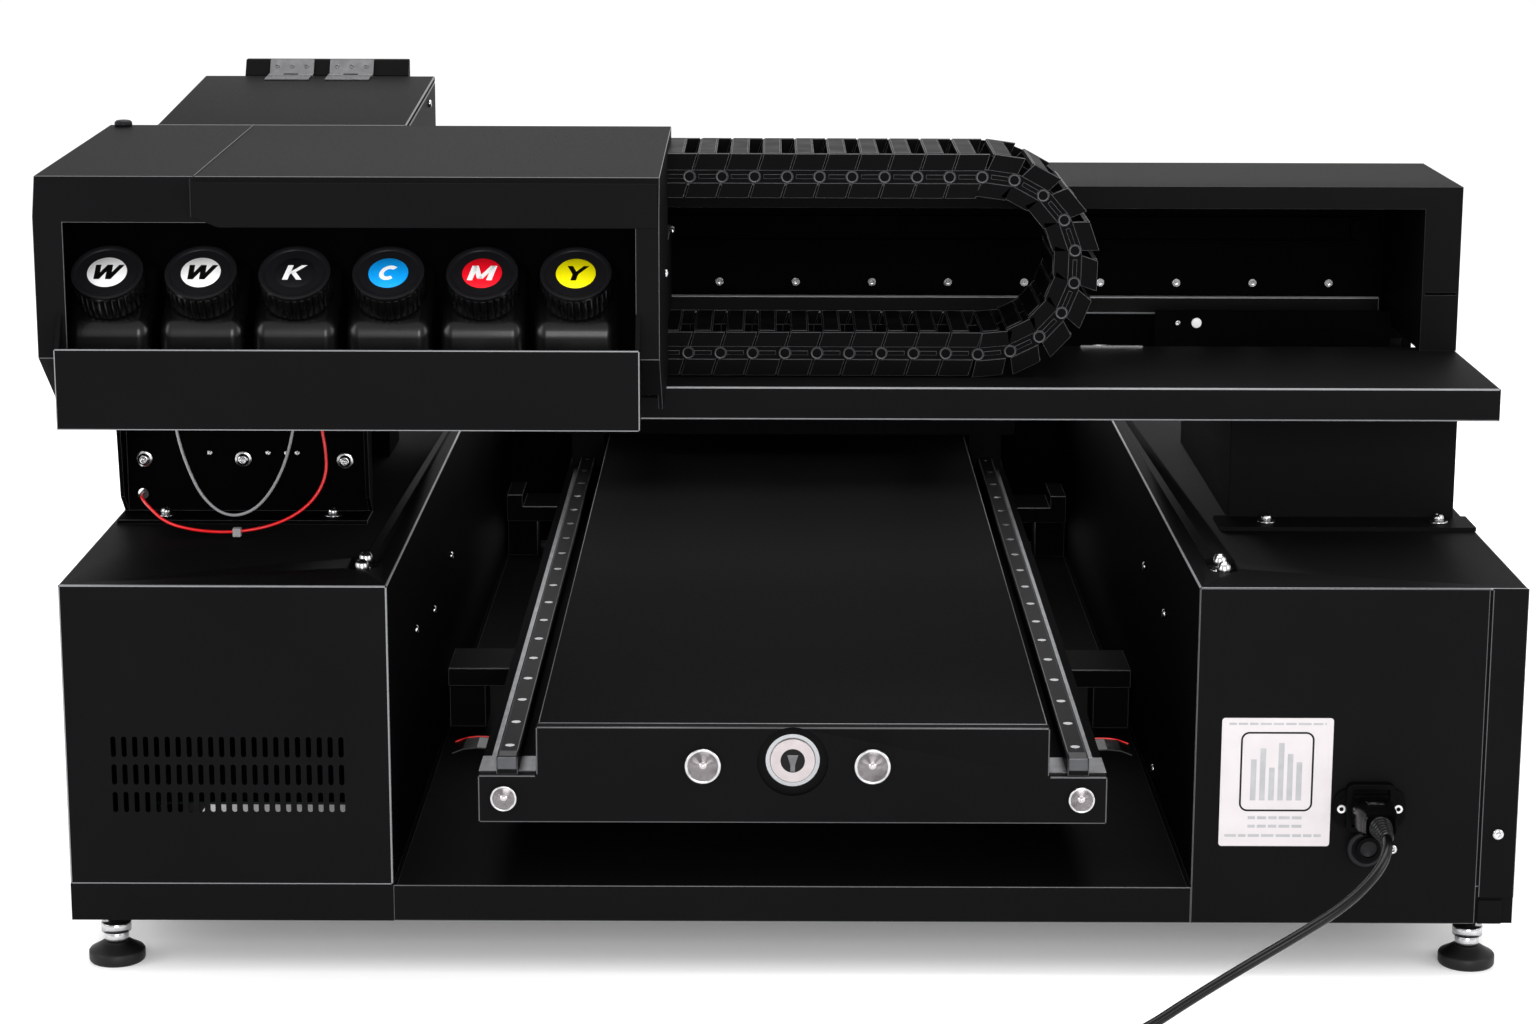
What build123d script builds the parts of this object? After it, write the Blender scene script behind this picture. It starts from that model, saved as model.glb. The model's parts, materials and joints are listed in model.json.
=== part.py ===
from build123d import *
import os
from math import cos, pi, radians, sin, tan

# Flatbed printer. Millimetres, +Z up. X runs across the gantry. The service side faces -Y and the
# operator's side +Y. The origin is under the middle of the machine, on the floor.

# Overall sizes
overall_width = 1020.0
pedestal_depth = 1120.0
pedestal_height = 284.0
pedestal_width = 228.0
sheet = 2.0
fold_radius = 1.2
slide_gap = 0.4
fit_gap = 0.05
seat_gap = 0.3

# The apron stands ahead of the pedestals' service face, and the parked table behind their far face
apron_reach = 45.0
table_overhang = 240.0

half = overall_width / 2
inner = half - pedestal_width
overall_depth = apron_reach + pedestal_depth + table_overhang
face_y = apron_reach - overall_depth / 2

# Feet and base rails
rail_bottom = 40.0
rail_height = 26.5
foot_radius = 20.0
foot_inset_x = 25.0
foot_inset_y = 30.0
foot_pad = 9.0
foot_neck = 11.0
foot_stem_radius = 6.0
foot_stem_reach = 18.0
tray_level = 60.0

# Vents in the left pedestal
vent_count = 22
vent_rows = 3
vent_pitch = 7.6
vent_width = 3.7
vent_length = 15.0
vent_row_pitch = 20.2
vent_first_x = 34.0
vent_top = pedestal_height - 109.0

# Stud recesses in the pedestals' inner top corners
recess_inset = 24.0
recess_depth_y = 70.0
recess_length = 46.0
recess_width = 22.0
recess_sink = 6.0

# Right pedestal: service plate, inlet, data socket
service_plate_gap = 26.0
inlet_x = half - 105.0
inlet_z = pedestal_height - 158.0
inlet_width = 28.0
inlet_height = 22.0
inlet_flange = 50.0
inlet_flange_height = 28.0
inlet_screw_pitch = 40.0
data_x = inlet_x
data_z = inlet_z - 29.0
data_radius = 9.0
control_z = pedestal_height - 64.0
estop_x = half - 110.0
estop_stem = 8.0
estop_head = 20.0
rocker_x = estop_x - 60.0
rocker_half = 11.0

# Bed module: beam with two ledges, rails, cover, screw
beam_bottom = 113.0
ledge_top = 147.5
beam_half = inner - 61.0
ledge_width = 41.0
beam_floor = 8.0
beam_length = pedestal_depth + 64.0
end_plate_thick = 10.0
end_plate_top = ledge_top + 35.5
cover_sheet = 2.0
y_rail_width = 15.0
y_rail_height = 13.0
screw_radius = 8.0
screw_level = ledge_top + 10.5
screw_lead = 20.0
bearing_radius = 25.0
rail_screw_pitch = 60.0
crossbar_depth = 65.0
crossbar_height = 15.4
crossbar_near_y = 416.0
crossbar_far_y = pedestal_depth - 78.0
crossbar_tab = 16.0
screen_inset = 10.0
pass_gap = 3.0

# Saddle and table
saddle_length = 123.0
saddle_bottom = end_plate_top + 2.0
saddle_thick = 15.0
saddle_half = beam_half + 9.0
block_length = 40.0
block_width = 32.0
post_radius = 8.0
post_x = 140.0
column_radius = 14.0
column_height = 58.0
post_inset_y = 28.0
table_width = 2 * beam_half - 12.0
table_length = 560.0
table_bottom = saddle_bottom + saddle_thick + column_height + 4.0
table_thick = 16.0
nut_radius = 19.0
motor_side = 56.0
motor_length = 62.0

# Gantry
shelf_near = 120.0
shelf_far = 302.0
shelf_bottom = pedestal_height + 95.0
shelf_thick = 24.0
leg_near = 228.0
leg_foot_near = 194.0
right_leg_near = 218.0
right_foot_near = 181.0
wire_hole_x = 14.0
wire_hole_z = shelf_bottom - 79.0
leg_plate = 3.0
wall_near = 452.0
beam_far = 520.0
gantry_bottom = shelf_bottom + 6.0
roof_top = shelf_bottom + 150.0
roof_near = 284.0
roof_bend = 445.0
beam_lip = 20.0
roof_fall = 29.0
fascia_bottom = roof_top - 17.0
post_width = 28.0
cheek_seam = roof_top - 82.0
x_rail_level = shelf_bottom + 34.5
x_rail_height = 15.0
x_rail_proud = 12.0
wall_screw_first = half - 568.0
wall_screw_pitch = 62.0
wall_screw_level = x_rail_level + 17.1
guide_half = 13.0

# Belt drive
pulley_radius = 8.5
belt_level = x_rail_level + 61.5
belt_thick = 1.5
belt_width = 6.0
drive_x = half - 48.0
idler_x = 18.0 - half
x_motor_side = 35.0

# Carriage, parked at the left
carriage_left = 30.0 - half
carriage_width = 186.0
carriage_near = 306.0
carriage_back = 420.0
carriage_bottom = shelf_bottom - 29.0
carriage_top = roof_top - 9.0
head_drop = 5.0
head_half = 17.0
head_near = 325.0
head_far = 400.0
head_pitch = 42.0

# Cable chain
chain_near = 160.0
chain_width = 108.0
chain_pitch = 23.5
chain_radius = 64.5
chain_plate = 36.0
chain_wall = 5.0
chain_ride = 1.2
chain_bend_x = half - 370.0
chain_left = 180.0 - half
chain_lower_left = chain_left - 100.0
chain_tongue_bottom = shelf_bottom + 65.0
chain_tongue_top = shelf_bottom + 125.0
arm_level = shelf_bottom + 117.0
arm_rise = shelf_bottom + shelf_thick + 2 * chain_radius + chain_plate / 2 + 10.0 - arm_level
arm_width = 40.0
arm_thick = 4.0

# Ink hood, apron and bottles
hood_right = 419.0 - half
hood_near = -28.0
hood_far = 250.0
hood_bottom = shelf_bottom + shelf_thick
hood_top = hood_bottom + 2 * chain_radius + chain_plate + 2.0
hood_rise = 7.0
hood_sheet = 3.0
opening_left = 20.0 - half
opening_right = hood_right - 16.0
opening_bottom = hood_bottom + 54.0
opening_top = hood_top - 30.0
apron_bottom = hood_bottom - 1.0
bottle_count = 6
bottle_pitch = 63.8
bottle_first_x = 42.0 - half
bottle_tilt = 39.0
cap_face_y = 5.0
cap_face_z = hood_bottom + 99.5
cap_radius = 24.8
cap_height = 22.0
cap_rim = 3.0
cap_ribs = 30
cap_rib_depth = 1.0
bottle_width = 58.0
bottle_near = -3.0
bottle_far = 60.0
bottle_round = 7.0
neck_radius = 17.0
rack_height = 160.0

# Garage over the parked carriage
garage_left = carriage_left
garage_right = garage_left + 188.0
garage_near = 276.0
garage_far = 500.0
garage_near_top = roof_top + 40.5
garage_far_top = roof_top + 58.0
lid_thick = 5.0
hinge_radius = 4.0
hinge_pin = 2.0
hinge_length = 36.0
hinge_spread = 24.5

# Mains lead
cord_radius = 3.5
plug_far = -45.0
cord_exit_reach = 25.0
coil_x = inlet_x - 305.0
coil_depth = -200.0
coil_middle = 38.5
coil_layers = 3
coil_columns = 2
wire_radius = 1.1


def at(depth):
    """Y of a plane that lies this far behind the pedestals' service face."""
    return face_y + depth


def block(x0, x1, y0, y1, z0, z1):
    middle = Pos((x0 + x1) / 2, (y0 + y1) / 2, (z0 + z1) / 2)
    return middle * Box(x1 - x0, y1 - y0, z1 - z0)


def rod(start, direction, radius, length):
    base = Plane(origin=start, z_dir=direction)
    return base * Cylinder(radius, length, align=(Align.CENTER, Align.CENTER, Align.MIN))


def screw(start, direction, radius=3.2, height=3.0):
    head = rod(start, direction, radius, height)
    back = tuple(-v for v in direction)
    shank = rod(start, back, radius * 0.55, height)
    socket_start = tuple(s + d * height for s, d in zip(start, direction))
    socket = rod(socket_start, back, radius * 0.5, height * 0.55)
    return head + shank - socket


def group(shapes):
    solids = []
    for shape in shapes:
        solids.extend(shape.solids())
    return Compound(solids)


def soften(shape, radius=fold_radius):
    return fillet(shape.edges(), radius)


# ---- base ----------------------------------------------------------------------------------

def foot_places():
    x = half - foot_inset_x
    near = at(foot_inset_y)
    far = at(pedestal_depth - foot_inset_y)
    return {"near_left": (-x, near), "near_right": (x, near), "far_left": (-x, far), "far_right": (x, far)}


def foot(x, y):
    pad = Pos(x, y, foot_pad / 2) * Cylinder(foot_radius, foot_pad)
    pad = chamfer(pad.edges().sort_by(Axis.Z)[-1:], foot_pad * 0.4)
    neck = rod((x, y, foot_pad), (0, 0, 1), foot_neck, rail_bottom - foot_pad - seat_gap)
    stem = rod((x, y, foot_pad), (0, 0, 1), foot_stem_radius, rail_bottom - foot_pad + foot_stem_reach)
    return pad + neck + stem


def base_rails():
    rails = []
    for side in (-1, 1):
        x0, x1 = sorted((side * inner, side * half))
        near = sheet if side > 0 else 0
        rail = block(x0, x1, at(near), at(pedestal_depth), rail_bottom, rail_bottom + rail_height)
        for x, y in foot_places().values():
            rail -= rod((x, y, rail_bottom), (0, 0, 1), foot_stem_radius + fit_gap, foot_stem_reach + 1)
        hollow = block(x0 + 50, x1 - 50, at(60), at(pedestal_depth - 60), rail_bottom, rail_bottom + rail_height)
        rails.append(rail - hollow)
    return group(rails)


def base_tray():
    floor = block(-inner, inner, at(0), at(pedestal_depth), tray_level - sheet, tray_level)
    lip = block(-inner, inner, at(0), at(sheet), rail_bottom, rail_bottom + rail_height)
    far_lip = block(-inner, inner, at(pedestal_depth - sheet), at(pedestal_depth),
                    rail_bottom, rail_bottom + rail_height)
    return floor + lip + far_lip


def obround(x, z, width, length, near, far):
    sketch = Plane(origin=(x, near, z), x_dir=(0, 0, 1), z_dir=(0, 1, 0)) * SlotOverall(length, width)
    return extrude(sketch, far - near)


def recess(side):
    x = side * (inner + recess_inset)
    z = pedestal_height
    cut = Pos(x, at(recess_depth_y), z) * extrude(SlotOverall(recess_length, recess_width, rotation=90), -recess_sink)
    floor = Pos(x, at(recess_depth_y), z - recess_sink) * extrude(
        SlotOverall(recess_length + 2 * sheet, recess_width + 2 * sheet, rotation=90), -sheet)
    wall = Pos(x, at(recess_depth_y), z) * extrude(
        SlotOverall(recess_length + 2 * sheet, recess_width + 2 * sheet, rotation=90), -recess_sink)
    return cut, floor + wall - cut


def pedestal_cover(side):
    x0, x1 = sorted((side * inner, side * half))
    bottom = rail_bottom + rail_height
    near = 0 if side < 0 else sheet
    shell = soften(block(x0, x1, at(near), at(pedestal_depth), bottom, pedestal_height))
    shell -= block(x0 + sheet, x1 - sheet, at(near + sheet), at(pedestal_depth - sheet),
                   bottom - 1, pedestal_height - sheet)
    cut, cup = recess(side)
    shell = shell - cut + cup
    if side > 0:
        # The whole service end is open behind its screwed plate, and the far face holds the controls
        shell -= block(x0 + 12, x1 - 40, at(0), at(near + sheet + 1), bottom + 12, pedestal_height - 12)
        shell -= rod((estop_x, at(pedestal_depth + 1), control_z), (0, -1, 0), 8 + slide_gap, sheet + 2)
        shell -= block(rocker_x - rocker_half, rocker_x + rocker_half, at(pedestal_depth - sheet - 1),
                       at(pedestal_depth + 1), control_z - rocker_half, control_z + rocker_half)
    else:
        slots = []
        for row in range(vent_rows):
            for place in range(vent_count):
                x = x0 + vent_first_x + place * vent_pitch
                z = vent_top - vent_length / 2 - row * vent_row_pitch
                slots.append(obround(x, z, vent_width, vent_length, at(-1), at(sheet + 1)))
        shell = shell - slots
    return shell


def service_plate():
    """Screwed plate over the right pedestal's service end, with the column beside it."""
    right = half - service_plate_gap
    plate = soften(block(inner, right - 1, at(0), at(sheet - 0.01), rail_bottom, pedestal_height), 0.6)
    column = soften(block(right + 1, half, at(0), at(sheet - 0.01), rail_bottom + rail_height - 7, pedestal_height), 0.6)
    low = soften(block(right + 1, half - 8, at(0), at(sheet - 0.01), rail_bottom, rail_bottom + rail_height - 9), 0.6)
    plate -= block(inlet_x - inlet_width / 2, inlet_x + inlet_width / 2, at(-1), at(sheet + 1),
                   inlet_z - inlet_height / 2, inlet_z + inlet_height / 2)
    plate -= rod((data_x, at(-1), data_z), (0, 1, 0), data_radius, sheet + 2)
    return group([plate, column, low])


def power_inlet():
    flange = block(inlet_x - inlet_flange / 2, inlet_x + inlet_flange / 2, at(-3), at(0),
                   inlet_z - inlet_flange_height / 2, inlet_z + inlet_flange_height / 2)
    flange = fillet(flange.edges().filter_by(Axis.Y), 9)
    gap = fit_gap * 2
    body = block(inlet_x - inlet_width / 2 + gap, inlet_x + inlet_width / 2 - gap, at(-6), at(26),
                 inlet_z - inlet_height / 2 + gap, inlet_z + inlet_height / 2 - gap)
    well = block(inlet_x - 12, inlet_x + 12, at(-7), at(17), inlet_z - 8, inlet_z + 8)
    pins = []
    for x, z in ((-7, -2), (0, 2), (7, -2)):
        pins.append(block(inlet_x + x - 1, inlet_x + x + 1, at(-2), at(17), inlet_z + z - 2.4, inlet_z + z + 2.4))
    inlet = flange + body - well
    for pin in pins:
        inlet += pin
    return inlet


def data_socket():
    ring = rod((data_x, at(-4), data_z), (0, 1, 0), data_radius + 3, 4)
    barrel = rod((data_x, at(-7), data_z), (0, 1, 0), data_radius - 0.2, 24)
    bore = rod((data_x, at(-8), data_z), (0, 1, 0), data_radius - 3, 12)
    return ring + barrel - bore


# ---- bed -----------------------------------------------------------------------------------

rail_x = beam_half - ledge_width / 2


def bed_beam():
    near = end_plate_thick
    far = beam_length
    floor = block(-beam_half, beam_half, at(near), at(far), beam_bottom, beam_bottom + beam_floor)
    beam = floor
    for side in (-1, 1):
        x0, x1 = sorted((side * (beam_half - ledge_width), side * beam_half))
        beam += block(x0, x1, at(near), at(far), beam_bottom + beam_floor, ledge_top)
    far_plate = block(-beam_half, beam_half, at(far), at(far + end_plate_thick), beam_bottom, ledge_top)
    far_plate += block(-beam_half + ledge_width, beam_half - ledge_width, at(far), at(far + end_plate_thick),
                       ledge_top, end_plate_top)
    far_plate -= rod((0, at(far - 1), screw_level), (0, 1, 0), bearing_radius - 6, end_plate_thick + 2)
    return beam + far_plate


def end_plate():
    low = block(-beam_half, beam_half, at(0), at(end_plate_thick), beam_bottom, ledge_top)
    high = block(-beam_half + ledge_width, beam_half - ledge_width, at(0), at(end_plate_thick),
                 ledge_top - 1, end_plate_top)
    plate = soften(low + high, 1.0)
    plate -= rod((0, at(-1), screw_level), (0, 1, 0), bearing_radius, 5)
    plate -= rod((0, at(-1), screw_level), (0, 1, 0), bearing_radius - 6, end_plate_thick + 2)
    return plate


def bearings():
    rings = []
    for start, length in ((4, end_plate_thick - 4), (beam_length, end_plate_thick)):
        outer = rod((0, at(start), screw_level), (0, 1, 0), bearing_radius - 6, length)
        rings.append(outer - rod((0, at(start - 1), screw_level), (0, 1, 0), screw_radius + fit_gap, length + 2))
    return group(rings)


def lead_screw():
    shaft = rod((0, at(1), screw_level), (0, 1, 0), screw_radius, beam_length + end_plate_thick + 8)
    return shaft


def y_rails():
    rails = []
    for side in (-1, 1):
        x = side * rail_x
        rail = block(x - y_rail_width / 2, x + y_rail_width / 2, at(2), at(beam_length), ledge_top,
                     ledge_top + y_rail_height)
        rails.append(chamfer(rail.edges().filter_by(Axis.Y).sort_by(Axis.Z)[-2:], 1.0))
    return group(rails)


def bed_cover():
    cover_half = beam_half - ledge_width - 1
    top = end_plate_top
    return block(-cover_half, cover_half, at(end_plate_thick), at(beam_length), top - cover_sheet, top)


def crossbars():
    bars = []
    for y in (crossbar_near_y, crossbar_far_y):
        bar = block(-inner, inner, at(y), at(y + crossbar_depth), beam_bottom - crossbar_height, beam_bottom)
        if y == crossbar_far_y:
            for side in (-1, 1):
                x0, x1 = sorted((side * (inner - crossbar_tab), side * inner))
                bar += block(x0, x1, at(y), at(y + crossbar_depth), beam_bottom, beam_bottom + 12)
        bars.append(bar)
    for y in (crossbar_near_y, crossbar_far_y):
        for side in (-1, 1):
            x0, x1 = sorted((side * (inner - 30), side * inner))
            bars[0 if y == crossbar_near_y else 1] += block(
                x0, x1, at(y + 10), at(y + crossbar_depth - 10), tray_level, beam_bottom - crossbar_height)
    return group(bars)


def tunnel_screens():
    """Far screens beside the bed, stepped round the saddle and the table that pass between them."""
    screens = []
    near = pedestal_depth - screen_inset
    for side in (-1, 1):
        steps = [(beam_half + pass_gap, rail_bottom + rail_height, saddle_bottom - pass_gap),
                 (saddle_half + pass_gap, saddle_bottom - pass_gap, saddle_bottom + saddle_thick + pass_gap),
                 (table_width / 2 + pass_gap, saddle_bottom + saddle_thick + pass_gap, pedestal_height - fold_radius)]
        screen = None
        for reach, low, high in steps:
            x0, x1 = sorted((side * reach, side * inner))
            piece = block(x0, x1, at(near), at(near + sheet), low, high)
            screen = piece if screen is None else screen + piece
        screens.append(screen)
    return group(screens)


def y_motor():
    near = beam_length + end_plate_thick
    body = block(-motor_side / 2, motor_side / 2, at(near), at(near + motor_length),
                 screw_level - motor_side / 2, screw_level + motor_side / 2)
    body = fillet(body.edges().filter_by(Axis.Y), 5)
    return body - rod((0, at(near - 1), screw_level), (0, 1, 0), screw_radius + 2, 12)


# ---- saddle and table ----------------------------------------------------------------------

saddle_near = beam_length - saddle_length - 4


def rail_blocks():
    blocks = []
    for side in (-1, 1):
        for near in (saddle_near + 2, saddle_near + saddle_length - block_length - 2):
            x = side * rail_x
            body = block(x - block_width / 2, x + block_width / 2, at(near), at(near + block_length),
                         ledge_top + 3, saddle_bottom)
            body -= block(x - y_rail_width / 2 - slide_gap, x + y_rail_width / 2 + slide_gap, at(near - 1),
                          at(near + block_length + 1), ledge_top, ledge_top + y_rail_height + slide_gap)
            blocks.append(body)
    return group(blocks)


def post_places():
    places = []
    for x in (-post_x, post_x):
        for y in (saddle_near + post_inset_y, saddle_near + saddle_length - post_inset_y):
            places.append((x, at(y)))
    return places


def saddle():
    top = saddle_bottom + saddle_thick
    plate = block(-saddle_half, saddle_half, at(saddle_near), at(saddle_near + saddle_length), saddle_bottom, top)
    for side in (-1, 1):
        # The arms pass between the rail blocks and hold the nut's plate under the bed cover
        x0, x1 = sorted((side * (beam_half - ledge_width), side * (beam_half - ledge_width + 12)))
        middle = saddle_near + saddle_length / 2
        plate += block(x0, x1, at(middle - 13), at(middle + 13), ledge_top + y_rail_height + 6, saddle_bottom)
    under = end_plate_top - cover_sheet - 3
    plate += block(-(beam_half - ledge_width + 1), beam_half - ledge_width + 1, at(middle - 13), at(middle + 13),
                   under - 6, under)
    plate += rod((0, at(middle - 13), screw_level), (0, 1, 0), nut_radius, 26)
    plate -= rod((0, at(middle - 14), screw_level), (0, 1, 0), screw_radius + fit_gap, 28)
    for x, y in post_places():
        plate += rod((x, y, top), (0, 0, 1), column_radius, column_height)
        plate -= rod((x, y, saddle_bottom + 5), (0, 0, 1), post_radius + fit_gap, saddle_thick + column_height)
    return plate


def table():
    x = table_width / 2
    far = pedestal_depth + table_overhang
    top = table_bottom + table_thick
    plate = soften(block(-x, x, at(far - table_length), at(far), table_bottom, top), 2.0)
    for px, py in post_places():
        plate += rod((px, py, saddle_bottom + 7), (0, 0, 1), post_radius, table_bottom - saddle_bottom - 6)
    return plate


# ---- gantry --------------------------------------------------------------------------------

def gantry_shelf():
    top = shelf_bottom + shelf_thick
    shelf = soften(block(-half, half, at(shelf_near), at(shelf_far), shelf_bottom, top))
    return shelf - block(-half - 1, half - sheet, at(shelf_near + sheet), at(shelf_far - sheet),
                         shelf_bottom + sheet, top - sheet)


def left_leg():
    x0, x1 = -half + 4, -inner - 36
    foot_top = pedestal_height + leg_plate
    flange = block(x0, x1, at(leg_foot_near), at(leg_near + leg_plate), pedestal_height, foot_top)
    plate = block(x0, x1, at(leg_near), at(leg_near + leg_plate), pedestal_height, shelf_bottom)
    fins = []
    for x in (x0, x1 - leg_plate):
        outline = Polyline((at(leg_near), foot_top), (at(leg_near - 16), foot_top + 14),
                           (at(leg_near - 26), shelf_bottom), (at(leg_near), shelf_bottom), close=True)
        fin = extrude(Plane(origin=(x, 0, 0), x_dir=(0, 1, 0), z_dir=(1, 0, 0)) * make_face(outline), leg_plate)
        fins.append(fin)
    leg = flange + plate + fins[0] + fins[1]
    return leg - rod((x0 + wire_hole_x, at(leg_near - 1), wire_hole_z), (0, 1, 0), 4, leg_plate + 2)


def right_leg():
    x0, x1 = inner + 48, half - 10
    foot_top = pedestal_height + leg_plate
    flange = block(inner + 37, half, at(right_foot_near), at(right_leg_near + leg_plate), pedestal_height, foot_top)
    box_outer = soften(block(x0, x1, at(right_leg_near), at(beam_far), pedestal_height, shelf_bottom), 1.0)
    box_inner = block(x0 + leg_plate, x1 - leg_plate, at(right_leg_near + leg_plate), at(beam_far + 1),
                      foot_top, shelf_bottom - leg_plate)
    spacer = block(x0, x1, at(wall_near), at(beam_far), shelf_bottom - 1, gantry_bottom)
    return box_outer + flange + spacer - box_inner


def roof_drop(depth):
    return roof_fall * (depth - roof_bend) / (beam_far - roof_bend)


def gantry_beam():
    low, high = gantry_bottom, roof_top - sheet
    beam = side_profile(-half + sheet, overall_width - 2 * sheet, [
        (wall_near, low), (beam_far, low), (beam_far, high - roof_fall), (wall_near, high - roof_drop(wall_near))])
    near, far = wall_near + leg_plate, beam_far - leg_plate
    top = high - 2 * leg_plate
    beam -= side_profile(-half, overall_width, [
        (near, low + leg_plate), (far, low + leg_plate), (far, top - roof_fall), (near, top - roof_drop(near))])
    beam -= rod((drive_x, at(wall_near - 1), belt_level), (0, 1, 0), pulley_radius, leg_plate + 2)
    # A lip under the beam closes the view between the legs and beside the right one
    for x0, x1 in ((-inner - 47, inner + 47), (half - 9.6, half - sheet)):
        beam += block(x0, x1, at(wall_near), at(wall_near + leg_plate), low - beam_lip, low)
    x0, x1 = -half + 10, -inner - 48
    upright = block(x0, x1, at(wall_near), at(beam_far), pedestal_height, gantry_bottom)
    upright -= block(x0 + leg_plate, x1 - leg_plate, at(wall_near + leg_plate), at(beam_far + 1),
                     pedestal_height - 1, gantry_bottom - leg_plate)
    return beam + upright


def x_rail():
    z0 = x_rail_level - x_rail_height / 2
    rail = block(-half + 8, half - post_width - 4, at(wall_near - x_rail_proud), at(wall_near), z0, z0 + x_rail_height)
    return chamfer(rail.edges().filter_by(Axis.X).sort_by(Axis.Y)[:2], 1.0)


def gantry_cover():
    shelf_top = shelf_bottom + shelf_thick
    low = roof_top - sheet
    roof = side_profile(-half, overall_width, [
        (roof_near, low), (roof_near, roof_top), (roof_bend, roof_top), (beam_far, roof_top - roof_fall),
        (beam_far, low - roof_fall), (roof_bend, low)])
    roof += block(-half, half, at(roof_near), at(roof_near + sheet), fascia_bottom, roof_top)
    for x in (-half, half - sheet):
        roof += side_profile(x, sheet, [
            (roof_near, shelf_top), (roof_near, roof_top), (roof_bend, roof_top), (beam_far, roof_top - roof_fall),
            (beam_far, shelf_top)])
    post = block(half - post_width, half, at(roof_near), at(roof_near + sheet), cheek_seam + 1, roof_top)
    low = block(half - post_width + sheet, half, at(roof_near), at(roof_near + sheet), shelf_top, cheek_seam - 1)
    inner_cheek = block(half - post_width, half - post_width + sheet, at(roof_near), at(wall_near),
                        shelf_top, fascia_bottom + 1)
    roof += post + low + inner_cheek
    return roof - block(garage_left + sheet, garage_right - sheet, at(roof_near + 6), at(wall_near),
                        roof_top - sheet - roof_drop(wall_near) - 1, roof_top + 1)


def belt():
    y0 = at(wall_near - 3 - belt_width)
    inner_r = pulley_radius + seat_gap
    outer_r = inner_r + belt_thick
    span = drive_x - idler_x
    plane = Plane(origin=((drive_x + idler_x) / 2, y0, belt_level), x_dir=(1, 0, 0), z_dir=(0, 1, 0))
    outer = extrude(plane * SlotOverall(span + 2 * outer_r, 2 * outer_r), belt_width)
    return outer - extrude(plane * SlotOverall(span + 2 * inner_r, 2 * inner_r), belt_width)


def pulley(x, shaft_reach):
    y0 = at(wall_near - 3 - belt_width)
    wheel = rod((x, y0, belt_level), (0, 1, 0), pulley_radius, belt_width)
    shaft = rod((x, y0 - 2, belt_level), (0, 1, 0), 3, belt_width + 2 + shaft_reach)
    return wheel + shaft


def x_motor():
    s = x_motor_side / 2
    near = wall_near + leg_plate
    body = block(drive_x - s, drive_x + s, at(near), at(near + 40), belt_level - s, belt_level + s)
    body -= rod((drive_x, at(near - 1), belt_level), (0, 1, 0), 3 + fit_gap, 20)
    # The idler's bracket stands on the wall at the other end
    bracket = block(idler_x - 8, idler_x + 8, at(wall_near - 2), at(wall_near), belt_level - 14, belt_level + 14)
    bracket -= rod((idler_x, at(wall_near - 3), belt_level), (0, 1, 0), 3 + fit_gap, 4)
    return group([body, bracket])


# ---- carriage ------------------------------------------------------------------------------

def carriage():
    x0, x1 = carriage_left, carriage_left + carriage_width
    box_outer = soften(block(x0, x1, at(carriage_near), at(carriage_back), carriage_bottom, carriage_top), 1.5)
    box_outer -= block(x0 + 3, x1 - 3, at(carriage_near + 3), at(carriage_back - 4), carriage_bottom + 5,
                       carriage_top + 1)
    for x in head_places():
        box_outer -= block(x - head_half, x + head_half, at(head_near), at(head_far), carriage_bottom - 1,
                           carriage_bottom + 6)
    z = x_rail_level
    for x in (x0 + 4, x1 - 54):
        guide = block(x, x + 50, at(carriage_back), at(wall_near - 3.5), z - guide_half, z + guide_half)
        guide -= block(x - 1, x + 51, at(wall_near - x_rail_proud - slide_gap), at(wall_near),
                       z - x_rail_height / 2 - slide_gap, z + x_rail_height / 2 + slide_gap)
        box_outer += guide
    lower_strand = belt_level - pulley_radius - seat_gap - belt_thick
    box_outer += block((x0 + x1) / 2 - 15, (x0 + x1) / 2 + 15, at(carriage_back), at(wall_near - 3),
                       lower_strand - 9, lower_strand - seat_gap)
    # The arm that carries the chain's moving end out past the fascia
    near = chain_near + chain_width + 1
    box_outer += block(x1 - arm_width, x1, at(near), at(carriage_near + 3), arm_level, arm_level + arm_thick)
    box_outer += block(x1 - arm_width, x1, at(near), at(near + arm_thick), arm_level, arm_level + arm_rise)
    return box_outer


def head_places():
    return [carriage_left + 34 + i * head_pitch for i in range(3)]


def print_heads():
    heads = []
    for x in head_places():
        face = block(x - head_half + 0.5, x + head_half - 0.5, at(head_near + 0.5), at(head_far - 0.5),
                     carriage_bottom - head_drop, carriage_bottom + 5)
        body = block(x - head_half - 1, x + head_half + 1, at(head_near - 2), at(head_far + 2),
                     carriage_bottom + 5, carriage_bottom + 48)
        heads.append(face + body)
    return group(heads)


def uv_lamp():
    x1 = carriage_left + carriage_width
    body = block(x1 - 30, x1 - 5, at(head_near), at(head_far), carriage_bottom + 5, carriage_bottom + 95)
    return soften(body, 1.5)


def cap_station():
    x0, x1 = carriage_left + 8, carriage_left + carriage_width - 50
    base = block(x0, x1, at(head_near - 10), at(head_far + 10), pedestal_height, pedestal_height + 20)
    for x in head_places():
        cup = block(x - head_half, x + head_half, at(head_near), at(head_far), pedestal_height + 20,
                    carriage_bottom - head_drop - 2)
        cup -= block(x - head_half + 4, x + head_half - 4, at(head_near + 4), at(head_far - 4),
                     pedestal_height + 40, carriage_bottom)
        base += cup
    return base


# ---- cable chain ---------------------------------------------------------------------------

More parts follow.
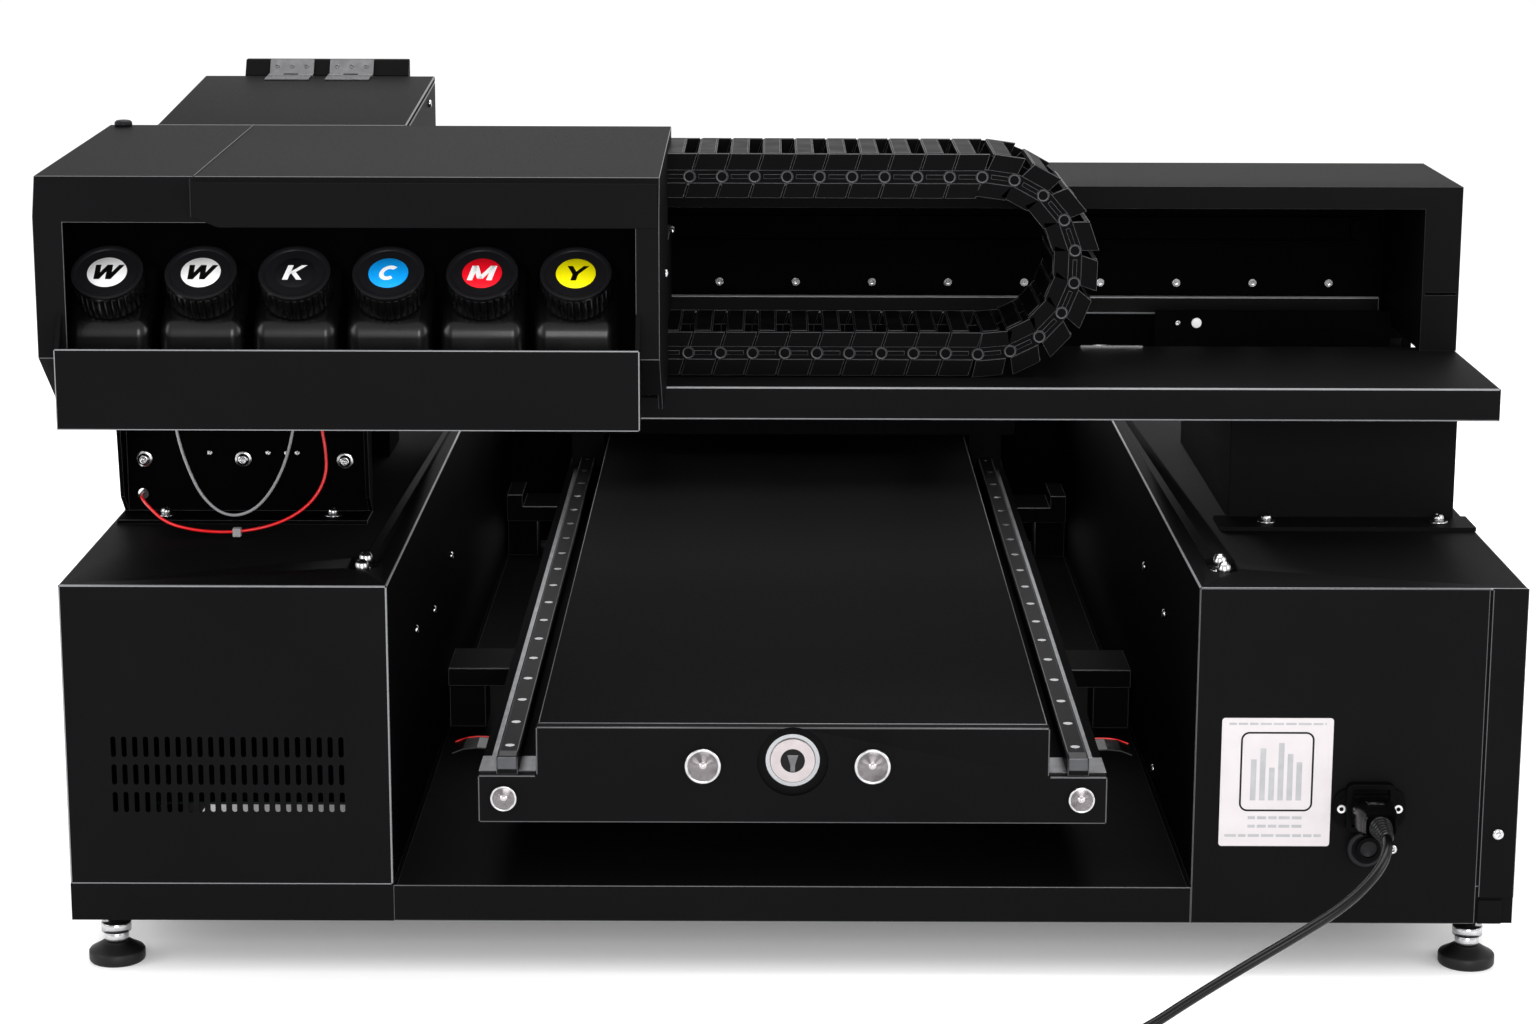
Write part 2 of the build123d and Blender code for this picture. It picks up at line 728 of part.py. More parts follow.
def chain_track():
    """Pivots along the chain, each as x, z and the link's angle, from the fixed end to the moving end."""
    low = shelf_bottom + shelf_thick + chain_plate / 2
    middle = low + chain_radius
    bend = pi * chain_radius
    lower = chain_bend_x - chain_lower_left
    total = lower + bend + (chain_bend_x - chain_left)
    places = []
    travel = chain_pitch / 2
    while travel < total:
        if travel < lower:
            places.append((chain_lower_left + travel, low, 0.0))
        elif travel < lower + bend:
            turn = (travel - lower) / chain_radius
            places.append((chain_bend_x + chain_radius * sin(turn), middle - chain_radius * cos(turn), turn))
        else:
            places.append((chain_bend_x - (travel - lower - bend), middle + chain_radius, pi))
        travel += chain_pitch
    return places


def chain_link(x, z, turn):
    side_length = chain_pitch - seat_gap * 4
    plates = []
    reach = chain_plate / 2 - chain_ride
    for y in (chain_near, chain_near + chain_width - chain_wall):
        plates.append(Pos(0, at(y + chain_wall / 2), 0) * Box(side_length, chain_wall, 2 * reach))
    for level in (-reach + 1.5, reach - 1.5):
        plates.append(Pos(0, at(chain_near + chain_width / 2), level)
                      * Box(side_length * 0.55, chain_width - 2 * chain_wall + 1, 3))
    link = plates[0]
    for plate in plates[1:]:
        link += plate
    return Pos(x, 0, z) * Rot(0, -turn * 180 / pi, 0) * link


def cable_chain():
    return group([chain_link(*place) for place in chain_track()])


# ---- ink supply ----------------------------------------------------------------------------

def side_profile(x, thick, points):
    outline = Polyline(*[(at(y), z) for y, z in points], close=True)
    return extrude(Plane(origin=(x, 0, 0), x_dir=(0, 1, 0), z_dir=(1, 0, 0)) * make_face(outline), thick)


def hood_outline(grow):
    past = 1 if grow > 0 else 0
    return [(hood_near + grow, hood_top - 26 - grow), (hood_near + 10 + grow, hood_top - grow),
            (hood_far + past, hood_top + hood_rise - grow), (hood_far + past, hood_bottom - past),
            (hood_near + 60, hood_bottom - past), (hood_near + grow, hood_bottom + 45)]


def ink_hood():
    """One folded shell: roof, brow over the bottles, two sides, open at the back and below."""
    solid = side_profile(-half, hood_right + half, hood_outline(0))
    hollow = side_profile(-half + hood_sheet, hood_right + half - 2 * hood_sheet, hood_outline(hood_sheet))
    hood = solid - hollow
    hood -= block(opening_left, opening_right, at(hood_near - 5), at(hood_near + 62), hood_bottom - 5, opening_top)
    # Room for the end tank behind the opening's left edge
    hood -= block(-half + 2 * hood_sheet, opening_right, at(bottle_near - 1), at(hood_near + 62), hood_bottom - 5,
                  hood_bottom + 30)
    # Ways out for the chain's two runs and the carriage's arm, through the right side
    x0, x1 = hood_right - 10, hood_right + 5
    near = at(chain_near - 6)
    hood -= block(x0, x1, near, at(hood_far + 5), hood_bottom - 5, chain_tongue_bottom)
    hood -= block(x0, x1, near, at(hood_far + 5), chain_tongue_top, hood_top - hood_sheet)
    return hood - block(x0, x1, at(hood_far - 6), at(hood_far + 5), hood_bottom - 5, hood_top - hood_sheet)


def apron_panel():
    x0, x1 = opening_left - 6, opening_right + 3
    front = -apron_reach
    plate = soften(block(x0, x1, at(front), at(front + hood_sheet), apron_bottom, opening_bottom), 0.8)
    floor = block(opening_left + 1, opening_right - 1, at(front + hood_sheet), at(hood_near + 120), apron_bottom,
                  apron_bottom + hood_sheet)
    wings = []
    for x in (x0, x1 - hood_sheet):
        wings.append(side_profile(x, hood_sheet, [(front + hood_sheet, apron_bottom + hood_sheet),
                                                  (front + hood_sheet, opening_bottom),
                                                  (hood_near, opening_bottom + 22),
                                                  (hood_near, apron_bottom + hood_sheet)]))
    return plate + floor + wings[0] + wings[1]


cap_axis = (0, -sin(radians(bottle_tilt)), cos(radians(bottle_tilt)))


def bottle_places():
    return [bottle_first_x + i * bottle_pitch for i in range(bottle_count)]


def along(x, distance):
    """Point on a bottle's axis, this far below the middle of its cap's face."""
    return (x, at(cap_face_y) - cap_axis[1] * distance, cap_face_z - cap_axis[2] * distance)


def ink_cap(x):
    down = tuple(-v for v in cap_axis)
    rim = rod(along(x, 0), down, cap_radius, cap_rim)
    rim = chamfer(rim.edges().filter_by(GeomType.CIRCLE), 0.8)
    points = []
    for i in range(2 * cap_ribs):
        radius = cap_radius - cap_rib_depth * (i % 2)
        angle = pi * i / cap_ribs
        points.append((radius * cos(angle), radius * sin(angle)))
    skirt = extrude(Plane(origin=along(x, cap_rim), z_dir=down) * make_face(Polyline(*points, close=True)),
                    cap_height - cap_rim)
    return rim + skirt - rod(along(x, cap_height + 1), cap_axis, neck_radius + seat_gap, cap_height - 3)


def ink_bottle(x):
    """Square tank whose sloping shoulder carries the neck."""
    floor = apron_bottom + hood_sheet
    reach = bottle_width / 2
    _, shoulder_y, shoulder_z = along(x, cap_height + 1)
    rise, run = reach * sin(radians(bottle_tilt)), reach * cos(radians(bottle_tilt))
    crest = shoulder_z + rise
    outline = Polyline((at(bottle_near), floor), (at(bottle_near), shoulder_z - rise), (shoulder_y + run, crest),
                       (at(bottle_far), crest), (at(bottle_far), floor), close=True)
    plane = Plane(origin=(x - reach, 0, 0), x_dir=(0, 1, 0), z_dir=(1, 0, 0))
    tank = fillet(extrude(plane * make_face(outline), bottle_width).edges(), bottle_round)
    down = tuple(-v for v in cap_axis)
    return tank + rod(along(x, 5), down, neck_radius, cap_height + 4)


def ink_bottles():
    return group([ink_bottle(x) for x in bottle_places()])


def bottle_rack():
    """Board behind the tanks, from side to side of the hood."""
    near = at(bottle_far)
    return block(-half + hood_sheet, hood_right - hood_sheet, near, near + hood_sheet, hood_bottom + hood_sheet,
                 hood_bottom + rack_height)


# ---- garage --------------------------------------------------------------------------------

def garage_box():
    outline = [(garage_near, roof_top), (garage_near, garage_near_top), (garage_far, garage_far_top),
               (garage_far, roof_top - roof_drop(garage_far)), (roof_bend, roof_top)]
    outer = side_profile(garage_left, garage_right - garage_left, outline)
    return outer - block(garage_left + sheet, garage_right - sheet, at(garage_near + sheet),
                         at(garage_far - sheet), roof_top - roof_fall, garage_far_top + 1)


hinge_y = garage_far + hinge_radius + 0.5
hinge_z = garage_far_top + lid_thick / 2


def hinge_places():
    middle = (garage_left + garage_right) / 2
    return [middle - hinge_spread, middle + hinge_spread]


def lid_hinges():
    """Fixed leaves with the two outer knuckles and the pin."""
    leaves = []
    third = hinge_length / 3
    for x in hinge_places():
        leaf = block(x - hinge_length / 2, x + hinge_length / 2, at(garage_far), at(garage_far + 1.5),
                     garage_far_top - 26, garage_far_top - hinge_radius - 1)
        for x0 in (x - hinge_length / 2, x + third / 2):
            knuckle = rod((x0, at(hinge_y), hinge_z), (1, 0, 0), hinge_radius, third)
            web = block(x0, x0 + third, at(garage_far), at(garage_far + 1.5), garage_far_top - hinge_radius - 2, hinge_z)
            leaf += knuckle + web
        leaf += rod((x - hinge_length / 2, at(hinge_y), hinge_z), (1, 0, 0), hinge_pin, hinge_length)
        leaves.append(leaf)
    return group(leaves)


def garage_lid():
    lid = soften(side_profile(garage_left, garage_right - garage_left, [
        (garage_near, garage_near_top + seat_gap), (garage_near, garage_near_top + lid_thick),
        (garage_far, garage_far_top + lid_thick), (garage_far, garage_far_top + seat_gap)]), 1.0)
    third = hinge_length / 3 - 2 * seat_gap
    for x in hinge_places():
        knuckle = rod((x - third / 2, at(hinge_y), hinge_z), (1, 0, 0), hinge_radius, third)
        tongue = block(x - third / 2, x + third / 2, at(garage_far - 1), at(hinge_y), garage_far_top + 1,
                       garage_far_top + lid_thick)
        lid += knuckle + tongue
        lid -= rod((x - third, at(hinge_y), hinge_z), (1, 0, 0), hinge_pin + fit_gap, 2 * third)
    return lid


# ---- electrics -----------------------------------------------------------------------------

def electronics():
    level = rail_bottom + rail_height
    supply = block(inner + 20, inner + 130, at(160), at(375), level, level + 50)
    board = block(-half + 30, -inner - 30, at(150), at(400), level + 12, level + 14)
    boxes = [supply, board]
    for x in (-half + 36, -inner - 36):
        for y in (156, 394):
            boxes.append(rod((x, at(y), level), (0, 0, 1), 3, 12))
    return group(boxes)


def estop_button():
    y = at(pedestal_depth)
    stem = rod((estop_x, y - 22, control_z), (0, 1, 0), 8, 34)
    head = rod((estop_x, y + 12, control_z), (0, 1, 0), 20, 14)
    return stem + fillet(head.edges().filter_by(GeomType.CIRCLE), 4)


def power_rocker():
    reach = rocker_half - 1.0
    y = at(pedestal_depth)
    plane = Plane(origin=(rocker_x - reach, 0, control_z), x_dir=(0, 1, 0), z_dir=(1, 0, 0))
    outline = Polyline((y + 2, -reach), (y + 4.5, 0), (y + 2, reach), (y - 8, reach - 1), (y - 8, 1 - reach), close=True)
    return extrude(plane * make_face(outline), 2 * reach)


# ---- fasteners -----------------------------------------------------------------------------

def panel_screws():
    heads = []
    for side in (-1, 1):
        for depth in (-12, 12):
            heads.append(screw((side * (inner + recess_inset), at(recess_depth_y + depth),
                                pedestal_height - recess_sink), (0, 0, 1), 5, 6))
    for x in (inlet_x - inlet_screw_pitch / 2, inlet_x + inlet_screw_pitch / 2):
        heads.append(screw((x, at(-3), inlet_z), (0, -1, 0), 3, 1.6))
    return heads


def wall_screws():
    heads = []
    x = wall_screw_first
    while x < drive_x - 10:
        heads.append(screw((x, at(wall_near), wall_screw_level), (0, -1, 0), 3.2, 3))
        x += wall_screw_pitch
    return heads


def rail_screws():
    heads = []
    y = 30.0
    while y < beam_length - 20:
        for side in (-1, 1):
            start = (side * rail_x, at(y), ledge_top + y_rail_height)
            heads.append(rod(start, (0, 0, 1), 3.4, 0.3))
        y += rail_screw_pitch
    return heads


def fasteners():
    return group(panel_screws() + wall_screws() + rail_screws())


# ---- cords ---------------------------------------------------------------------------------

def round_route(points):
    """Straight runs joined by tangent arcs, each arc as large as its two runs allow."""
    radii = []
    for before, corner, after in zip(points, points[1:], points[2:]):
        run_in = Vector(*corner) - Vector(*before)
        run_out = Vector(*after) - Vector(*corner)
        turn = radians(run_in.get_angle(run_out))
        radii.append(0.45 * min(run_in.length, run_out.length) / tan(turn / 2))
    return radii, FilletPolyline(*points, radius=radii)


def cord(name, points, radius):
    radii, path = round_route(points)
    start = Plane(origin=path @ 0, z_dir=path % 0)
    tube = sweep(start * Circle(radius), path=path)
    drift = tube.volume / (pi * radius ** 2 * path.length) - 1
    print(name, "length", round(path.length, 1), "volume drift", round(drift, 5),
          "radii", [round(r, 1) for r in radii])
    return tube



def from_inlet(points):
    """Route points given as x from the inlet, depth and height."""
    return [(inlet_x + x, at(depth), z) for x, depth, z in points]


def under_shelf(points):
    """Route points given as x from the machine's left side, depth, and drop below the shelf."""
    return [(x - half, at(depth), shelf_bottom - drop) for x, depth, drop in points]


def inlet_plug():
    """Appliance plug seated in the inlet, with its strain relief."""
    nose = block(inlet_x - 12 + seat_gap, inlet_x + 12 - seat_gap, at(-7), at(16), inlet_z - 8 + seat_gap,
                 inlet_z + 8 - seat_gap)
    for x, z in ((-7, -2), (0, 2), (7, -2)):
        nose -= block(inlet_x + x - 1.4, inlet_x + x + 1.4, at(-3), at(17), inlet_z + z - 2.8, inlet_z + z + 2.8)
    body = block(inlet_x - 14, inlet_x + 14, at(plug_far), at(-6 - seat_gap), inlet_z - 10, inlet_z + 10)
    body = fillet(body.edges().filter_by(Axis.Y), 4)
    relief = Plane(origin=(inlet_x, at(plug_far), inlet_z), z_dir=(0, -1, 0)) * Cone(
        7.5, 4.8, cord_exit_reach, align=(Align.CENTER, Align.CENTER, Align.MIN))
    return nose + body + relief


def coil_place():
    return coil_x, at(coil_depth)


def cord_coil():
    x, y = coil_place()
    width = coil_columns * cord_radius
    ring = Pos(x, y, coil_layers * cord_radius) * Cylinder(coil_middle + width, coil_layers * cord_radius * 2)
    return ring - Pos(x, y, coil_layers * cord_radius) * Cylinder(coil_middle - width, coil_layers * cord_radius * 2 + 2)


def mains_plug():
    x, y = coil_place()
    y -= coil_middle
    z = (coil_layers * 2 - 1) * cord_radius
    grip = Plane(origin=(x + 24, y, z), z_dir=(1, 0, 0)) * Cone(
        4.8, 8, 34, align=(Align.CENTER, Align.CENTER, Align.MIN))
    body = rod((x + 58, y, z), (1, 0, 0), z, 36)
    body = fillet(body.edges().filter_by(GeomType.CIRCLE), 3)
    pins = [rod((x + 93, y + side * 9.5, z), (1, 0, 0), 2.4, 20) for side in (-1, 1)]
    return grip + body + pins[0] + pins[1]


# The lead leaves its plug level and sinks to the floor, where it runs into the coil
mains_route = [
    (0, -70, 126), (-1, -86, 124), (-10, -101, 112), (-33, -113, 93), (-65, -121, 75), (-101, -129, 56),
    (-139, -140, 36), (-173, -151, 17), (-205, -159, 7), (-239, -163, 3.5), (-273, -162.5, 3.5),
    (-305, -161.5, 3.5)]
grey_route = [
    (51, 181, 0), (53, 181, 21), (60, 182, 48), (71, 182.5, 73), (89, 181, 87), (110, 180, 82),
    (127, 180, 61), (139, 179, 30), (144, 178, 0)]
red_route = [
    (18, 230, 79), (19.5, 213, 77.5), (24, 192, 75), (33, 172, 77.5), (48, 155, 85.5), (70, 146, 89),
    (95, 144, 90.2), (120, 148, 88), (142, 156, 81), (158, 163, 68), (166, 168, 51), (165, 172, 33),
    (162, 173.5, 16), (162.5, 174, 0)]


# ---- the machine ---------------------------------------------------------------------------

nodes = {
    "base_rails": base_rails(),
    "base_tray": base_tray(),
    "left_pedestal_cover": pedestal_cover(-1),
    "right_pedestal_cover": pedestal_cover(1),
    "service_plate": service_plate(),
    "power_inlet": power_inlet(),
    "data_socket": data_socket(),
    "crossbars": crossbars(),
    "bed_beam": bed_beam(),
    "end_plate": end_plate(),
    "screw_bearings": bearings(),
    "y_rails": y_rails(),
    "bed_cover": bed_cover(),
    "tunnel_screens": tunnel_screens(),
    "y_motor": y_motor(),
    "lead_screw": lead_screw(),
    "rail_blocks": rail_blocks(),
    "saddle": saddle(),
    "table": table(),
    "gantry_shelf": gantry_shelf(),
    "left_leg": left_leg(),
    "right_leg": right_leg(),
    "gantry_beam": gantry_beam(),
    "x_rail": x_rail(),
    "gantry_cover": gantry_cover(),
    "x_belt": belt(),
    "x_motor": x_motor(),
    "drive_pulley": pulley(drive_x, leg_plate + 6),
    "idler_pulley": pulley(idler_x, 3),
    "carriage": carriage(),
    "print_heads": print_heads(),
    "uv_lamp": uv_lamp(),
    "capping_station": cap_station(),
    "cable_chain": cable_chain(),
    "ink_hood": ink_hood(),
    "apron_panel": apron_panel(),
    "ink_bottles": ink_bottles(),
    "bottle_rack": bottle_rack(),
    "garage_box": garage_box(),
    "lid_hinges": lid_hinges(),
    "garage_lid": garage_lid(),
    "electronics": electronics(),
    "estop_button": estop_button(),
    "power_rocker": power_rocker(),
    "panel_fasteners": fasteners(),
    "inlet_plug": inlet_plug(),
    "cord_coil": cord_coil(),
    "mains_plug": mains_plug(),
    "mains_cord": cord("mains_cord", from_inlet(mains_route), cord_radius),
    "grey_wire": cord("grey_wire", under_shelf(grey_route), wire_radius),
    "red_wire": cord("red_wire", under_shelf(red_route), wire_radius),
}
for place, (x, y) in foot_places().items():
    nodes["foot_" + place] = foot(x, y)
for number, x in enumerate(bottle_places(), start=1):
    nodes[f"ink_cap_{number}"] = ink_cap(x)

os.makedirs("parts", exist_ok=True)
for name, shape in nodes.items():
    export_step(shape, f"parts/{name}.step")
print(len(nodes), "nodes")
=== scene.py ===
import json
import math

import bmesh
import bpy
from mathutils import Matrix, Vector


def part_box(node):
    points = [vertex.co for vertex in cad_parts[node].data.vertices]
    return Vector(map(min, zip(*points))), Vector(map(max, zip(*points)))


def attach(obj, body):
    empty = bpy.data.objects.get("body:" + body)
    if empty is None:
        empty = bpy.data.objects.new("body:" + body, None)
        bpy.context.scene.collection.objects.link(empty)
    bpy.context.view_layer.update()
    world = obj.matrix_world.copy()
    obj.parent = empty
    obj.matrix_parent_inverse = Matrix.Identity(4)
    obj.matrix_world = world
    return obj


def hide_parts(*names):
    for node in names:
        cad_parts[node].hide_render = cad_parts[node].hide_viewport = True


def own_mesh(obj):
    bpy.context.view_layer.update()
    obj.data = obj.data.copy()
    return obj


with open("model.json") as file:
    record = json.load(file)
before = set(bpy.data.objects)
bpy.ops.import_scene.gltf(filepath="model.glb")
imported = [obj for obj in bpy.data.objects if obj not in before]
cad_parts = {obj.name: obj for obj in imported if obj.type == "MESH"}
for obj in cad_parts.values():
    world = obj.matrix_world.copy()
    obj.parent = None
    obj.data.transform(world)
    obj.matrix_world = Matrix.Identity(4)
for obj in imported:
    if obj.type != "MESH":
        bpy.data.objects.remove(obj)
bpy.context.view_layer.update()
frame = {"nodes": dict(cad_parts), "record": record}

mm = 0.001
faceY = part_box("service_plate")[0].y
print("frame loaded, service face at", round(faceY, 4))


def at(depth):
    # how far behind the service face, given in mm
    return faceY + depth * mm


def place(x, depth, z):
    return Vector((x * mm, at(depth), z * mm))


# ---- small tools for nodes and colours

def hexColour(code, alpha=1.0):
    def linear(v):
        return v / 12.92 if v <= 0.04045 else ((v + 0.055) / 1.055) ** 2.4
    return tuple(linear(int(code[i:i + 2], 16) / 255) for i in (1, 3, 5)) + (alpha,)


def addNode(tree, kind, settings=None, links=None, **sockets):
    node = tree.nodes.new(kind)
    for name, value in (settings or {}).items():
        setattr(node, name, value)
    for name, value in sockets.items():
        node.inputs[name.replace("_", " ")].default_value = value
    for name, source in (links or {}).items():
        tree.links.new(source, node.inputs[name])
    return node


def newMaterial(name):
    material = bpy.data.materials.new(name)
    material.use_nodes = True
    tree = material.node_tree
    tree.nodes.clear()
    out = tree.nodes.new("ShaderNodeOutputMaterial")
    shader = tree.nodes.new("ShaderNodeBsdfPrincipled")
    tree.links.new(shader.outputs[0], out.inputs["Surface"])
    where = tree.nodes.new("ShaderNodeTexCoord").outputs["Object"]
    return material, tree, shader, where


# the colour sockets of a mix node, which has one set of sockets for each kind of value
mixFirst, mixSecond, mixResult = 6, 7, 2


def noise(tree, where, sizeMm, **sockets):
    return addNode(tree, "ShaderNodeTexNoise", links={"Vector": where}, Scale=1 / (sizeMm * mm), **sockets)


def wireSurface(tree, shader, look, cloud, shine, relief, band, spread, dent):
    # cloud mixes two close shades, shine moves the roughness about its own value, relief dents the skin by dent metres
    tint = addNode(tree, "ShaderNodeMix", {"data_type": "RGBA"}, {"Factor": cloud.outputs["Fac"]})
    tint.inputs[mixFirst].default_value = hexColour(look["dark"])
    tint.inputs[mixSecond].default_value = hexColour(look["light"])
    rough = addNode(tree, "ShaderNodeMapRange", links={"Value": shine.outputs["Fac"]}, From_Min=band[0],
                    From_Max=band[1], To_Min=look["rough"] - spread[0], To_Max=look["rough"] + spread[1])
    bump = addNode(tree, "ShaderNodeBump", links={"Height": relief.outputs["Fac"]}, Strength=look["bump"],
                   Distance=dent)
    tree.links.new(tint.outputs[mixResult], shader.inputs["Base Color"])
    tree.links.new(rough.outputs["Result"], shader.inputs["Roughness"])
    tree.links.new(bump.outputs["Normal"], shader.inputs["Normal"])


def coatedSteel(name, look):
    # powder coat over folded sheet: a fine orange-peel skin and a broad soft highlight
    material, tree, shader, where = newMaterial(name)
    peel = noise(tree, where, look["grainMm"], Detail=3.0, Roughness=0.6)
    cloud = noise(tree, where, look["cloudMm"], Detail=2.0)
    wireSurface(tree, shader, look, cloud, peel, peel, band=(0.35, 0.75), spread=(0.05, 0.07), dent=0.0002)
    shader.inputs["IOR"].default_value = 1.5
    shader.inputs["Specular IOR Level"].default_value = look["sheen"]
    return material


def mouldedPlastic(name, look):
    # injection moulded: even colour with slight flow marks, fine spark-eroded grain or a polished skin
    material, tree, shader, where = newMaterial(name)
    flow = noise(tree, where, look["flowMm"], Detail=2.0)
    grain = noise(tree, where, look["grainMm"], Detail=2.0)
    wireSurface(tree, shader, look, flow, flow, grain, band=(0.3, 0.7), spread=(0.04, 0.04), dent=0.0001)
    shader.inputs["IOR"].default_value = 1.5
    shader.inputs["Specular IOR Level"].default_value = look.get("sheen", 0.5)
    shader.inputs["Coat Weight"].default_value = look.get("coat", 0.0)
    shader.inputs["Coat Roughness"].default_value = 0.08
    return material


def turnedMetal(name, look):
    # bare metal: fine tool or grinding lines stretched along one axis, which streak the reflections
    material, tree, shader, where = newMaterial(name)
    stretch = addNode(tree, "ShaderNodeMapping", links={"Vector": where}, Scale=look["stretch"])
    lines = noise(tree, stretch.outputs[0], look["lineMm"], Detail=4.0, Roughness=0.7)
    haze = noise(tree, where, look["hazeMm"], Detail=2.0)
    wireSurface(tree, shader, look, haze, lines, lines, band=(0.3, 0.7), spread=(0.06, 0.08), dent=0.0001)
    shader.inputs["Metallic"].default_value = 1.0
    return material


coats = {
    "panel": dict(dark="#0b0b0c", light="#0f0f10", grainMm=0.9, cloudMm=90, rough=0.52, bump=0.22, sheen=0.02),
    # the coat below is the panel coat made darker: a painted shade for walls and parts that sit in shade
    "inner": dict(dark="#020203", light="#040405", grainMm=0.9, cloudMm=90, rough=0.6, bump=0.2, sheen=0.012),
    "bed": dict(dark="#0c0c0d", light="#101011", grainMm=1.1, cloudMm=120, rough=0.6, bump=0.4, sheen=0.012),
    "rail": dict(dark="#060607", light="#0b0b0c", grainMm=0.7, cloudMm=50, rough=0.42, bump=0.1, sheen=0.05),
    # the two coats below are painted highlights: lighter copies of the panel coat for folds and bevels, standing in for
    # the thin line of light they catch
    "edge": dict(dark="#68696b", light="#7a7b7d", grainMm=0.9, cloudMm=60, rough=0.3, bump=0.05, sheen=0.5),
    "softPaintedHighlight": dict(dark="#3a3a3c", light="#444446", grainMm=0.9, cloudMm=60, rough=0.32, bump=0.05, sheen=0.5),
}
plastics = {
    "chain": dict(dark="#030304", light="#060607", grainMm=0.5, flowMm=25, rough=0.45, bump=0.12, sheen=0.025),
    # the plastic below is a painted highlight: a lighter copy of the chain plastic for the bevels of the links
    "chainPaintedHighlight": dict(dark="#434345", light="#4e4e50", grainMm=0.5, flowMm=25, rough=0.3, bump=0.02, sheen=0.3),
    "gloss": dict(dark="#050506", light="#080809", grainMm=1.2, flowMm=30, rough=0.3, bump=0.02, coat=0.15, sheen=0.25),
    "cap": dict(dark="#131315", light="#18181a", grainMm=0.5, flowMm=20, rough=0.36, bump=0.06, sheen=0.1),
    "capSide": dict(dark="#060607", light="#09090a", grainMm=0.5, flowMm=20, rough=0.25, bump=0.04, sheen=0.5),
    "jacket": dict(dark="#020202", light="#050505", grainMm=0.6, flowMm=18, rough=0.24, bump=0.04, sheen=0.22),
    "rubber": dict(dark="#070707", light="#0c0c0c", grainMm=0.8, flowMm=12, rough=0.5, bump=0.2, sheen=0.25),
    "redWire": dict(dark="#d80c14", light="#f01a20", grainMm=0.6, flowMm=9, rough=0.35, bump=0.05),
    "greyWire": dict(dark="#8a8b8d", light="#a2a3a5", grainMm=0.6, flowMm=9, rough=0.4, bump=0.05),
    "redCap": dict(dark="#b3100e", light="#c81814", grainMm=0.8, flowMm=20, rough=0.3, bump=0.04, coat=0.3),
    "board": dict(dark="#08200f", light="#0c2c16", grainMm=1.5, flowMm=8, rough=0.35, bump=0.1),
    "white": dict(dark="#fafafa", light="#ffffff", grainMm=0.6, flowMm=12, rough=0.4, bump=0.03),
    "ink": dict(dark="#040404", light="#080808", grainMm=0.6, flowMm=12, rough=0.5, bump=0.03, sheen=0.15),
    "cyan": dict(dark="#0a9cf0", light="#0fa6ff", grainMm=0.6, flowMm=12, rough=0.4, bump=0.03, sheen=0.3),
    "magenta": dict(dark="#f40c22", light="#ff1228", grainMm=0.6, flowMm=12, rough=0.4, bump=0.03, sheen=0.3),
    "yellow": dict(dark="#fbee00", light="#fff60a", grainMm=0.6, flowMm=12, rough=0.4, bump=0.03, sheen=0.3),
    "plate": dict(dark="#b3aeb0", light="#bfb9bb", grainMm=0.5, flowMm=16, rough=0.42, bump=0.06),
}
metals = {
    "zinc": dict(dark="#a3a2a4", light="#d2d1d3", lineMm=0.8, hazeMm=4, stretch=(1, 1, 1), rough=0.2, bump=0.06),
    "zincShade": dict(dark="#b9b3b4", light="#cbc5c6", lineMm=0.7, hazeMm=12, stretch=(1, 1, 1), rough=0.2, bump=0.02),
    "hinge": dict(dark="#4e4e50", light="#6c6c6e", lineMm=0.7, hazeMm=6, stretch=(1, 1, 1), rough=0.4, bump=0.05),
    "ringSteel": dict(dark="#9d9596", light="#b3abac", lineMm=0.5, hazeMm=9, stretch=(1, 1, 1), rough=0.32, bump=0.06),
    "ground": dict(dark="#8a8c8f", light="#a9abad", lineMm=0.6, hazeMm=40, stretch=(1, 0.02, 1), rough=0.3, bump=0.08),
    "satin": dict(dark="#7c7d80", light="#b2b3b6", lineMm=0.7, hazeMm=14, stretch=(1, 0.05, 1), rough=0.36, bump=0.08),
    "railCap": dict(dark="#3e3f41", light="#58595b", lineMm=0.7, hazeMm=12, stretch=(1, 1, 1), rough=0.38, bump=0.06),
    "brass": dict(dark="#a88338", light="#c79d4b", lineMm=0.6, hazeMm=10, stretch=(1, 1, 1), rough=0.3, bump=0.06),
}
finish = {name: coatedSteel("powderCoat_" + name, look) for name, look in coats.items()}
finish.update({name: mouldedPlastic("moulded_" + name, look) for name, look in plastics.items()})
finish.update({name: turnedMetal("bareMetal_" + name, look) for name, look in metals.items()})
print("materials made:", len(finish))


# ---- small tools for meshes

def showMesh(name, mesh, body, look, smooth=True):
    piece = bpy.data.objects.new(name, mesh)
    bpy.context.scene.collection.objects.link(piece)
    mesh.materials.clear()
    mesh.materials.append(finish[look])
    if smooth:
        mesh.shade_smooth()
    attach(piece, body)
    return piece


def bevelled(piece, width, segments=2, angle=35):
    bevel = piece.modifiers.new("edgeRound", "BEVEL")
    bevel.width = width * mm
    bevel.segments = segments
    bevel.limit_method = "ANGLE"
    bevel.angle_limit = math.radians(angle)
    bevel.harden_normals = True
    return piece


def bodyFromPoints(name, vertices, faces):
    mesh = bpy.data.meshes.new(name)
    mesh.from_pydata(vertices, [], faces)
    mesh.validate()
    mesh.update()
    return mesh


